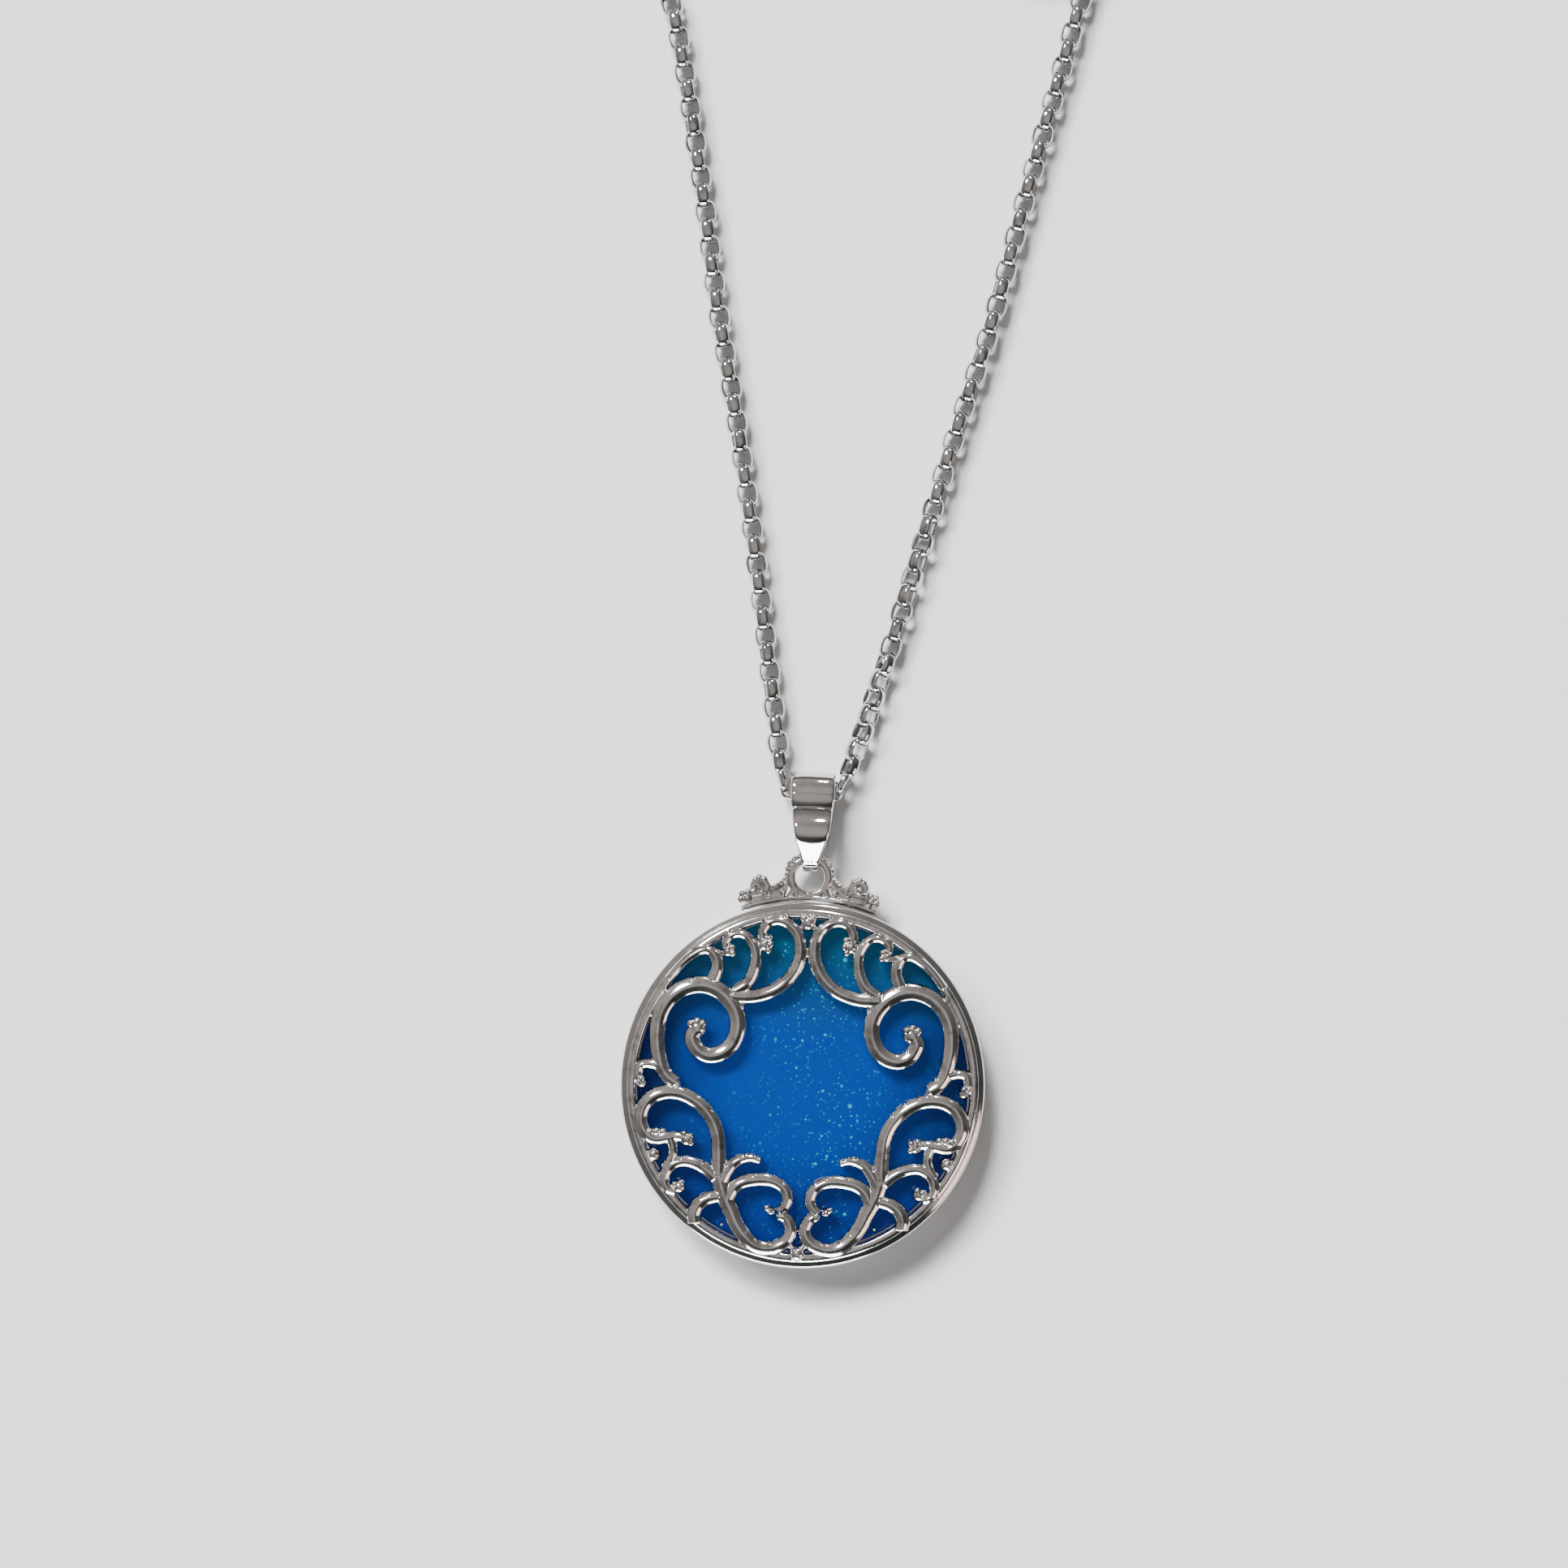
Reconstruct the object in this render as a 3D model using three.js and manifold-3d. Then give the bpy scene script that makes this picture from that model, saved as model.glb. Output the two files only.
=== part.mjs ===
// Pendant necklace: a round blue inlaid pendant under a scrolled silver front, on a fine belcher chain.
// Millimetres. +Z is up from the surface it lies on, +Y runs from the pendant towards its bail.
// The origin is the centre of the flat back of the pendant's case. The chain lies on z = 0, unclasped,
// with each strand's far stretch wound into a flat coil.
import * as THREE from 'three';
import { mergeVertices } from 'three/addons/utils/BufferGeometryUtils.js';
import Module from 'manifold-3d';

// ---- driving dimensions -------------------------------------------------------------------------
const CASE_R = 12.5;          // outside radius of the case
const CASE_H = 3.5;           // height of the case's lip
const LIP_R = 12.1;           // inside radius of the lip
const SEAT_R = 11.55;         // inside radius of the pocket under the filigree
const SEAT_Z = 2.5;           // height of the ledge that carries the filigree
const FLOOR_Z = 0.8;          // thickness of the case's back
const INLAY_R = 11.4;
const INLAY_TOP = 2.3;        // edge height of the inlay, whose middle is slightly domed
const INLAY_CROWN = 0.2;
const FILIGREE_R = 12.03;     // outside radius of the filigree's ring
const FILIGREE_RING = 0.5;    // width of that ring
const FILIGREE_Z = 2.6;       // underside of the filigree
const FILIGREE_TOP = 3.8;
const LOOP_Y = 14.3;          // centre of the hanging loop
const LOOP_Z = 1.5;
const LOOP_HOLE_R = 1.03;
const LOOP_R = 1.55;
const LOOP_THICK = 0.8;
const BAR_Y = LOOP_Y + (LOOP_HOLE_R + LOOP_R) / 2;   // middle of the loop's top bar, where it pivots
const ROLL_Y = 20.3;          // centre of the bail's roll, which the chain runs through
const ROLL_Z = 1.3;
const ROLL_R = 1.3;
const ROLL_HOLE_R = 1.05;
const TIP_R = 0.9;            // outside radius of the bail's lower turn, round the loop's bar
const TIP_HOLE_R = 0.6;
const LINK_PITCH = 1.27;
const LINK_LENGTH = 1.92;
const LINK_WIDTH = 1.53;
const LINK_WALL = 0.22;
const LINK_BAND = 0.45;       // width of the flat band that a link is made of
const CHAIN_Z = LINK_WIDTH / 2;
const COIL_MEAN_R = 7.5;      // middle of the coil's turns
const COIL_HALF_WIDTH = 2.0;
const COIL_H = 2 * LINK_WIDTH;
const COIL_X = [-8.5, 13.5];  // centres of the left and right coil
const COIL_Y = 88.5;
const STRAND_OUT = 1.3;       // how far outside the coil's middle turn each strand leaves it
const END_START_Y = 95.2;     // where each strand's last short run starts, beside its coil
const END_LINK_Y = 98.6;      // centre of each strand's last link

const SILVER = { color: 0xb9b4ae, roughness: 0.2, metalness: 1.0 };
const BLUE = { color: 0x0a4fa8, roughness: 0.12, metalness: 0.0 };

// ---- helpers ------------------------------------------------------------------------------------
const wasm = await Module();
wasm.setup();
const group = new THREE.Group();
const v2 = (p) => new THREE.Vector2(p[0], p[1]);
const v3 = (p) => new THREE.Vector3(p[0], p[1], p[2]);

function solid(geometry) {
  const bare = geometry.index ? geometry.toNonIndexed() : geometry.clone();
  bare.deleteAttribute('normal');
  bare.deleteAttribute('uv');
  const merged = mergeVertices(bare, 1e-5);
  return new wasm.Manifold(new wasm.Mesh({
    numProp: 3,
    vertProperties: new Float32Array(merged.attributes.position.array),
    triVerts: new Uint32Array(merged.index.array),
  }));
}

function shapeOf(manifold) {
  const mesh = manifold.getMesh();
  const geometry = new THREE.BufferGeometry();
  geometry.setAttribute('position', new THREE.BufferAttribute(new Float32Array(mesh.vertProperties), 3));
  geometry.setIndex(new THREE.BufferAttribute(new Uint32Array(mesh.triVerts), 1));
  geometry.computeVertexNormals();
  return geometry;
}

const join = (solids) => solids.reduce((sum, next) => sum.add(next));

function add(name, geometry, look, place) {
  const mesh = new THREE.Mesh(geometry, new THREE.MeshStandardMaterial({ ...look }));
  mesh.name = name;
  if (place) place(mesh);
  group.add(mesh);
  return mesh;
}

function extrude(shape, depth, z = 0, curveSegments = 8) {
  const geometry = new THREE.ExtrudeGeometry(shape, { depth, bevelEnabled: false, curveSegments });
  return geometry.translate(0, 0, z);
}

// A body of revolution about Z, from a closed counter-clockwise profile of [radius, height] points.
function turned(profile, segments) {
  return new THREE.LatheGeometry([...profile, profile[0]].map(v2), segments).rotateX(Math.PI / 2);
}

// A round tube along a smooth path through points.
function tube(points, radius, steps, sides = 8) {
  const section = new THREE.Shape();
  for (let i = 0; i < sides; i += 1) {
    const a = (i / sides) * 2 * Math.PI;
    const p = [radius * Math.cos(a), radius * Math.sin(a)];
    if (i === 0) section.moveTo(...p);
    else section.lineTo(...p);
  }
  section.closePath();
  const path = new THREE.CatmullRomCurve3(points.map(v3), false, 'centripetal');
  return new THREE.ExtrudeGeometry(section, { steps, extrudePath: path, bevelEnabled: false });
}

// A flat strip of changing width along a smooth centreline, standing between two heights.
function ribbon(points, widths, steps, z0, z1) {
  const curve = new THREE.SplineCurve(points.map(v2));
  const left = [];
  const right = [];
  for (let i = 0; i <= steps; i += 1) {
    const u = i / steps;
    const p = curve.getPointAt(u);
    const t = curve.getTangentAt(u);
    const w = u * (widths.length - 1);
    const k = Math.min(Math.floor(w), widths.length - 2);
    const half = (widths[k] + (widths[k + 1] - widths[k]) * (w - k)) / 2;
    left.push(new THREE.Vector2(p.x - t.y * half, p.y + t.x * half));
    right.unshift(new THREE.Vector2(p.x + t.y * half, p.y - t.x * half));
  }
  return extrude(new THREE.Shape([...left, ...right]), z1 - z0, z0);
}

function ball(x, y, z, r) {
  return new THREE.SphereGeometry(r, 8, 6).rotateX(Math.PI / 2).translate(x, y, z);
}

// ---- case and inlay -----------------------------------------------------------------------------
add('case_cup', turned([
  [0, 0], [CASE_R - 0.5, 0], [CASE_R, 0.5], [CASE_R, CASE_H - 0.3], [CASE_R - 0.15, CASE_H],
  [LIP_R, CASE_H - 0.1], [LIP_R, SEAT_Z], [SEAT_R, SEAT_Z], [SEAT_R, FLOOR_Z], [0, FLOOR_Z],
], 64), SILVER);

add('inlay_disc', turned([
  [0, FLOOR_Z + 0.05], [INLAY_R, FLOOR_Z + 0.05], [INLAY_R, INLAY_TOP - 0.1], [INLAY_R - 0.2, INLAY_TOP],
  [INLAY_R / 2, INLAY_TOP + INLAY_CROWN * 0.75], [0, INLAY_TOP + INLAY_CROWN],
], 48), BLUE);

// ---- filigree: one ring, with scrolls drawn for the left half and mirrored ------------------------
// Each scroll is [centreline points, widths along it, steps, ball on its end as [x, y, radius]].
const SCROLLS = [
  [[[-8.9, -0.3], [-9.9, 0.9], [-10.3, 2.6], [-10.2, 4.4], [-9.4, 5.8], [-7.9, 6.55], [-6.3, 6.35],
    [-5.1, 5.3], [-4.7, 3.9], [-5.2, 2.5], [-6.6, 1.85], [-7.7, 2.6]], [0.8, 0.85, 0.95, 1.1, 1.0, 0.95],
  28, [-7.5, 3.5, 0.62]],
  [[[-5.3, 5.7], [-3.8, 5.9], [-2.1, 6.5], [-0.95, 7.7], [-0.5, 9.2], [-0.9, 10.5], [-2.0, 11.15],
    [-2.9, 10.8], [-3.15, 9.8]], [0.8, 0.75, 0.75, 0.55, 0.5], 20, [-3.05, 9.5, 0.5]],
  [[[-5.0, 6.2], [-4.0, 7.1], [-3.6, 8.5], [-4.0, 9.7], [-4.9, 10.2], [-5.6, 9.8], [-5.75, 9.2]],
    [0.7, 0.6, 0.55, 0.45], 14, [-5.6, 8.85, 0.45]],
  [[[-6.6, 6.9], [-6.3, 7.9], [-6.7, 8.8], [-7.6, 8.95], [-8.8, 8.0], [-9.9, 6.8]],
    [0.75, 0.6, 0.45, 0.45], 10, [-6.35, 8.9, 0.3]],
  [[[-10.2, 1.0], [-11.2, 1.1], [-11.7, 0.5], [-11.3, -0.2]], [0.5, 0.5], 8, [-11.25, -0.3, 0.4]],
  [[[-5.7, -6.6], [-5.7, -5.0], [-5.95, -3.3], [-6.8, -1.9], [-8.3, -0.95], [-9.7, -0.85], [-10.8, -1.5],
    [-11.25, -2.6], [-10.7, -3.75], [-9.6, -3.95], [-8.2, -3.85]], [0.85, 0.85, 0.8, 0.8, 0.55], 24,
  [-8.0, -4.0, 0.45]],
  [[[-9.2, -3.9], [-8.95, -4.9], [-9.3, -6.0]], [0.5, 0.5], 5, [-10.35, -5.1, 0.55]],
  [[[-5.8, -6.7], [-6.9, -5.8], [-8.2, -5.5], [-9.2, -6.1], [-9.4, -7.1], [-8.7, -7.75]],
    [0.7, 0.6, 0.55], 12, [-8.4, -7.3, 0.5]],
  [[[-5.5, -8.1], [-6.5, -8.3], [-7.1, -9.0], [-7.2, -9.9]], [0.6, 0.7, 0.6], 6, null],
  [[[-5.65, -6.3], [-5.3, -7.9], [-4.7, -9.4], [-3.8, -10.8], [-2.5, -11.4], [-1.2, -11.1],
    [-0.5, -10.2], [-0.9, -9.2]], [1.0, 0.95, 0.8, 0.8, 0.6], 16, null],
  [[[-5.4, -7.0], [-5.0, -5.9], [-4.1, -5.2], [-2.8, -5.35]], [0.8, 0.65, 0.3], 8, null],
  [[[-5.0, -8.1], [-4.4, -7.1], [-3.3, -6.65], [-2.0, -6.7], [-1.0, -7.3], [-0.8, -8.2], [-1.5, -8.9]],
    [0.7, 0.75, 0.75, 0.6], 14, [-2.0, -8.8, 0.35]],
];
const BALL_Z = (FILIGREE_Z + FILIGREE_TOP) / 2;
const filigree = [solid(turned([
  [FILIGREE_R - FILIGREE_RING, FILIGREE_Z], [FILIGREE_R, FILIGREE_Z],
  [FILIGREE_R, FILIGREE_TOP - 0.1], [FILIGREE_R - FILIGREE_RING, FILIGREE_TOP - 0.1],
], 64))];
for (const [points, widths, steps, end] of SCROLLS) {
  for (const side of [1, -1]) {
    const line = points.map(([x, y]) => [x * side, y]);
    filigree.push(solid(ribbon(line, widths, steps, FILIGREE_Z, FILIGREE_TOP)));
    if (end) filigree.push(solid(ball(end[0] * side, end[1], BALL_Z, end[2])));
  }
}
filigree.push(solid(ball(0, 11.2, BALL_Z, 0.62)));
filigree.push(solid(ball(0, -11.5, BALL_Z, 0.62)));
const ringEdge = solid(turned([
  [0, FILIGREE_Z - 1], [FILIGREE_R, FILIGREE_Z - 1], [FILIGREE_R, FILIGREE_TOP + 1], [0, FILIGREE_TOP + 1],
], 64));
add('filigree_front', shapeOf(join(filigree).intersect(ringEdge)), SILVER);

// ---- hanger: the loop and its two curled shoulders, seated on the case's edge ---------------------
const HANGER_GAP = 0.1;        // between the hanger's foot and the case
const SADDLE_Z = [LOOP_Z - 0.9, LOOP_Z + 0.9];   // heights that the shoulders stand between
const wing = new THREE.Shape();
wing.moveTo(-4.9, 11.0);
wing.lineTo(-4.7, 12.6);
wing.lineTo(-3.2, 13.2);
wing.quadraticCurveTo(-1.9, 13.3, -1.1, 14.6);
wing.lineTo(1.1, 14.6);
wing.quadraticCurveTo(1.9, 13.3, 3.2, 13.2);
wing.lineTo(4.7, 12.6);
wing.lineTo(4.9, 11.0);
wing.closePath();
const disc = (r, z0, z1, segments) => solid(turned([[0, z0], [r, z0], [r, z1], [0, z1]], segments));
const loopHole = disc(LOOP_HOLE_R, 0, 4, 24).translate(0, LOOP_Y, 0);
const seatCut = disc(CASE_R + HANGER_GAP, 0, 4, 64);
const loopDisc = disc(LOOP_R, LOOP_Z - LOOP_THICK / 2, LOOP_Z + LOOP_THICK / 2, 24).translate(0, LOOP_Y, 0);
const clearArms = solid(extrude(new THREE.Shape([[-3, 14.0], [3, 14.0], [3, 15], [-3, 15]].map(v2)), 4));
const shoulders = [];
for (const side of [1, -1]) {
  shoulders.push(solid(ball(-3.45 * side, 13.35, LOOP_Z, 0.65)));
  shoulders.push(solid(ball(-4.4 * side, 12.85, LOOP_Z, 0.45)));
}
add('hanger_loop', shapeOf(join([
  solid(extrude(wing, SADDLE_Z[1] - SADDLE_Z[0], SADDLE_Z[0], 5)).subtract(clearArms),
  loopDisc, ...shoulders,
]).subtract(loopHole).subtract(seatCut)), SILVER);

// ---- bail: a folded teardrop band round the chain at its top and round the loop's bar at its foot --
// Outline of the hull of two circles in the plane across the bail, as seen along X.
function teardrop(rRoll, rTip) {
  const dy = BAR_Y - ROLL_Y;
  const dz = LOOP_Z - ROLL_Z;
  const toward = Math.atan2(dz, dy);
  const spread = Math.acos((rRoll - rTip) / Math.hypot(dy, dz));
  const points = [];
  const arc = (cy, cz, r, from, to, steps) => {
    for (let i = 0; i <= steps; i += 1) {
      const a = from + ((to - from) * i) / steps;
      points.push(new THREE.Vector2(cy + r * Math.cos(a), cz + r * Math.sin(a)));
    }
  };
  arc(ROLL_Y, ROLL_Z, rRoll, toward + spread, toward + 2 * Math.PI - spread, 14);
  arc(BAR_Y, LOOP_Z, rTip, toward - spread, toward + spread, 8);
  return points;
}
const band = new THREE.Shape(teardrop(ROLL_R, TIP_R));
band.holes.push(new THREE.Path(teardrop(ROLL_HOLE_R, TIP_HOLE_R)));
const BAIL_HALF = 1.45;
const bandSolid = solid(extrude(band, 2 * BAIL_HALF, -BAIL_HALF)
  .applyMatrix4(new THREE.Matrix4().makeBasis(v3([0, 1, 0]), v3([0, 0, 1]), v3([1, 0, 0]))));
const shield = new THREE.Shape();
shield.moveTo(-BAIL_HALF - 0.1, 22);
shield.lineTo(-BAIL_HALF + 0.02, 19);
shield.quadraticCurveTo(-1.1, 17.2, -0.62, 16.2);
shield.lineTo(-0.38, 14.5);
shield.lineTo(0.38, 14.5);
shield.lineTo(0.62, 16.2);
shield.quadraticCurveTo(1.1, 17.2, BAIL_HALF - 0.02, 19);
shield.lineTo(BAIL_HALF + 0.1, 22);
shield.closePath();
add('bail', shapeOf(bandSolid.intersect(solid(extrude(shield, 5, -1, 6)))), SILVER);

// ---- chain links, modelled singly where they run through the bail and at each strand's end --------
function link() {
  const round = (length, width) => {
    const shape = new THREE.Shape();
    const r = width / 2;
    const straight = length / 2 - r;
    shape.absarc(straight, 0, r, -Math.PI / 2, Math.PI / 2, false);
    shape.absarc(-straight, 0, r, Math.PI / 2, (3 * Math.PI) / 2, false);
    shape.closePath();
    return shape;
  };
  const outline = round(LINK_LENGTH, LINK_WIDTH);
  outline.holes.push(round(LINK_LENGTH - 2 * LINK_WALL, LINK_WIDTH - 2 * LINK_WALL));
  return extrude(outline, LINK_BAND, -LINK_BAND / 2, 6);
}

// A link from one contact point to the next, lying flat or turned on edge.
function placeLink(name, from, to, z, onEdge) {
  add(name, link(), SILVER, (mesh) => {
    mesh.position.set((from[0] + to[0]) / 2, (from[1] + to[1]) / 2, z);
    mesh.rotation.order = 'ZXY';
    mesh.rotation.z = Math.atan2(to[1] - from[1], to[0] - from[0]);
    if (onEdge) mesh.rotation.x = Math.PI / 2;
  });
}

const BAIL_CONTACTS = [
  [-2.3, 21.72], [-1.95, 20.5], [-0.72, 20.22], [0.55, 20.22], [1.8, 20.42], [2.35, 21.56],
];
const BAIL_LINK_Z = [1.0, 1.15, 1.25, 1.15, 1.0];
for (let i = 0; i < BAIL_LINK_Z.length; i += 1) {
  const name = `bail_link_${i + 1}`;
  placeLink(name, BAIL_CONTACTS[i], BAIL_CONTACTS[i + 1], BAIL_LINK_Z[i], i % 2 === 0);
}

// ---- chain strands: plain tubes on the surface, and a ring for each coil ---------------------------
const LEFT_RUN = [
  [-2.4, 22.3, 0.95], [-2.75, 25, 0.8], [-3.3, 28.5, CHAIN_Z], [-4.0, 33, CHAIN_Z], [-4.7, 37.5, CHAIN_Z],
  [-5.4, 41.5, CHAIN_Z], [-6.3, 46.4, CHAIN_Z], [-7.2, 50.8, CHAIN_Z], [-8.1, 55.5, CHAIN_Z],
  [-8.9, 60.5, CHAIN_Z], [-9.8, 65.5, CHAIN_Z], [-10.8, 70.8, CHAIN_Z], [-11.8, 75.5, CHAIN_Z],
];
const RIGHT_RUN = [
  [2.62, 22.1, 0.95], [3.4, 24.6, 0.8], [4.3, 27.8, CHAIN_Z], [5.3, 31.4, CHAIN_Z], [6.4, 35.3, CHAIN_Z],
  [7.6, 39.8, CHAIN_Z], [8.7, 44.2, CHAIN_Z], [10.0, 48.8, CHAIN_Z], [11.2, 52.9, CHAIN_Z],
  [12.3, 57.4, CHAIN_Z], [13.5, 62.6, CHAIN_Z], [14.7, 67.6, CHAIN_Z], [15.8, 72.0, CHAIN_Z],
  [16.8, 76.2, CHAIN_Z],
];
const LEFT_LEAD = [[-12.5, 77.4, CHAIN_Z], [-13.3, 78.9, CHAIN_Z]];
const RIGHT_LEAD = [[17.6, 77.7, CHAIN_Z], [18.3, 78.9, CHAIN_Z]];
add('chain_left_run', tube([...LEFT_RUN, ...LEFT_LEAD], LINK_WIDTH / 2, 26), SILVER);
add('chain_right_run', tube([...RIGHT_RUN, ...RIGHT_LEAD], LINK_WIDTH / 2, 26), SILVER);
const coilRing = () => turned([
  [COIL_MEAN_R - COIL_HALF_WIDTH, 0], [COIL_MEAN_R + COIL_HALF_WIDTH, 0],
  [COIL_MEAN_R + COIL_HALF_WIDTH, COIL_H], [COIL_MEAN_R - COIL_HALF_WIDTH, COIL_H],
], 40);
for (const [name, i] of [['left', 0], ['right', 1]]) {
  add(`chain_${name}_coil`, coilRing(), SILVER, (mesh) => mesh.position.set(COIL_X[i], COIL_Y, 0));
}

// ---- ends of the strands: short run, last link, and the fittings that join them behind the neck ----
const END_X = [COIL_X[0] - COIL_MEAN_R - STRAND_OUT, COIL_X[1] + COIL_MEAN_R + STRAND_OUT];
for (const [name, i] of [['left', 0], ['right', 1]]) {
  const x = END_X[i];
  add(`chain_${name}_tail`, tube([[x, END_START_Y, CHAIN_Z], [x, END_LINK_Y - 1.2, CHAIN_Z]],
    LINK_WIDTH / 2, 1), SILVER);
  placeLink(`${name}_end_link`, [x, END_LINK_Y - LINK_PITCH / 2], [x, END_LINK_Y + LINK_PITCH / 2],
    CHAIN_Z, false);
}

// A ring standing on edge through a strand's last link, with its centre a little past the link's tip.
const LINK_TIP_Y = END_LINK_Y + LINK_LENGTH / 2;
const JUMP = { r: 1.35, wire: 0.2, past: 0.3 };
const END = { r: 1.6, wire: 0.25, past: 0.1 };
function standingRing(name, size, x) {
  add(name, new THREE.TorusGeometry(size.r, size.wire, 6, 20), SILVER, (mesh) => {
    mesh.rotation.y = Math.PI / 2;
    mesh.position.set(x, LINK_TIP_Y + size.past, size.r + size.wire);
  });
}
standingRing('clasp_jump_ring', JUMP, END_X[0]);
standingRing('end_ring', END, END_X[1]);

// ---- lobster clasp, lying flat: its own origin is the centre of its eye, and +Y runs to its nose ----
const CLASP_H = 2.2;
const EYE_R = 1.0;
const EYE_HOLE_R = 0.5;
const EYE_Z = [0.75, 1.45];
const PIVOT = [0.75, 2.6];
const RIVET_R = 0.25;
const RIVET_HOLE_R = 0.33;
const SPRING_R = 0.46;
const SPRING_WIRE_R = 0.035;
const SPRING_TURNS = 1.5;
const SPRING_STEPS = 12;
const LEVER_Z = [0.7, 1.5];
const EYE_REACH = 1.3;         // from the jump ring's centre to the eye's
const CLASP_AT = [END_X[0], LINK_TIP_Y + JUMP.past + EYE_REACH, 0];
const atClasp = (mesh) => mesh.position.set(...CLASP_AT);

const claw = new THREE.Shape();
claw.moveTo(-0.45, 0.6);
claw.bezierCurveTo(-0.6, 1.5, -1.8, 1.8, -2.0, 3.4);
claw.bezierCurveTo(-2.3, 5.4, -1.7, 7.9, 0, 7.95);
claw.bezierCurveTo(1.0, 7.95, 1.7, 7.2, 1.75, 6.2);
claw.lineTo(1.2, 6.1);
claw.bezierCurveTo(1.0, 6.9, 0.2, 7.1, -0.3, 6.9);
claw.bezierCurveTo(-1.4, 6.3, -1.4, 3.6, -0.3, 3.3);
claw.lineTo(0.6, 3.5);
claw.lineTo(1.35, 3.4);
claw.bezierCurveTo(1.6, 2.3, 0.8, 1.4, 0.45, 0.6);
claw.closePath();
const rivetHole = disc(RIVET_HOLE_R, -1, 4, 12).translate(PIVOT[0], PIVOT[1], 0);
const slot = solid(extrude(new THREE.Shape([[0, 1.9], [3, 1.9], [3, 3.8], [0, 3.8]].map(v2)),
  LEVER_Z[1] - LEVER_Z[0] + 0.1, LEVER_Z[0] - 0.05));
const neck = [[-0.45, 0.3], [0.45, 0.3], [0.45, 1.2], [-0.45, 1.2]].map(v2);
const eyeHole = disc(EYE_HOLE_R, -1, 4, 16);
add('clasp_body', shapeOf(solid(extrude(claw, CLASP_H, 0, 5))
  .add(disc(EYE_R, EYE_Z[0], EYE_Z[1], 20))
  .add(solid(extrude(new THREE.Shape(neck), EYE_Z[1] - EYE_Z[0], EYE_Z[0])))
  .subtract(eyeHole).subtract(slot).subtract(rivetHole)), SILVER, atClasp);

const lever = new THREE.Shape();
lever.moveTo(0.35, 2.2);
lever.lineTo(1.3, 2.2);
lever.lineTo(1.75, 3.0);
lever.quadraticCurveTo(2.4, 3.0, 2.6, 3.5);
lever.quadraticCurveTo(2.4, 3.9, 1.8, 3.9);
lever.quadraticCurveTo(1.9, 5.0, 1.7, 5.95);
lever.lineTo(1.2, 5.9);
lever.quadraticCurveTo(1.4, 4.4, 0.9, 3.6);
lever.lineTo(0.35, 3.1);
lever.closePath();
const springPocket = disc(0.62, LEVER_Z[1] - 0.28, 4, 16).translate(PIVOT[0], PIVOT[1], 0);
add('clasp_lever', shapeOf(solid(extrude(lever, LEVER_Z[1] - LEVER_Z[0], LEVER_Z[0], 5))
  .subtract(rivetHole).subtract(springPocket)), SILVER, atClasp);
add('clasp_rivet', new THREE.CylinderGeometry(RIVET_R, RIVET_R, CLASP_H - 0.1, 12)
  .rotateX(Math.PI / 2).translate(PIVOT[0], PIVOT[1], CLASP_H / 2), SILVER, atClasp);
const springLine = [];
for (let i = 0; i <= SPRING_STEPS; i += 1) {
  const u = i / SPRING_STEPS;
  const a = u * SPRING_TURNS * 2 * Math.PI;
  springLine.push([
    PIVOT[0] + SPRING_R * Math.cos(a), PIVOT[1] + SPRING_R * Math.sin(a), LEVER_Z[1] - 0.2 + 0.14 * u,
  ]);
}
add('clasp_spring', tube(springLine, SPRING_WIRE_R, 18, 5), SILVER, atClasp);

export default group;
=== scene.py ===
"""Pendant necklace: the looks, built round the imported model. Shapes are worked out in millimetres."""
import math

import bmesh
import bpy
import numpy as np
from mathutils import Matrix, Vector


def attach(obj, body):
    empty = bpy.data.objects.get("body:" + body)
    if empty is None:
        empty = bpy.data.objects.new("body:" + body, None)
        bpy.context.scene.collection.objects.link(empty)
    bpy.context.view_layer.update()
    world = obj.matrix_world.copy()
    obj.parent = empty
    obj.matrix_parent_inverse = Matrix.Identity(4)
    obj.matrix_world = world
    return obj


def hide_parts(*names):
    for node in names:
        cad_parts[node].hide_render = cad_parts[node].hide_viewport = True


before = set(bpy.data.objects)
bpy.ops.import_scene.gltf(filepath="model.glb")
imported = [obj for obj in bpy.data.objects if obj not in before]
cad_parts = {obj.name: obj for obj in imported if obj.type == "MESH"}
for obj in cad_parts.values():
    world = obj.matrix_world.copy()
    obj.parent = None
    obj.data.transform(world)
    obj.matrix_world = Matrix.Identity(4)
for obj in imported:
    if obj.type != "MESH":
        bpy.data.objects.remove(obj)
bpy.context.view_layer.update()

MM = 0.001
scene = bpy.context.scene

# ---- camera ------------------------------------------------------------------------------------
CAMERA_TARGET = Vector((-2.02, 20.7, 2.0))
CAMERA_DISTANCE = 200.0
CAMERA_TILT = math.radians(-4.0)    # from straight down, leaning towards the pendant's side
CAMERA_ROLL = math.radians(2.04)
CAMERA_LENS = 66.1
CAMERA_SENSOR = 36.0                # width
CAMERA_CLIP = (5, 10000)


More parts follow.
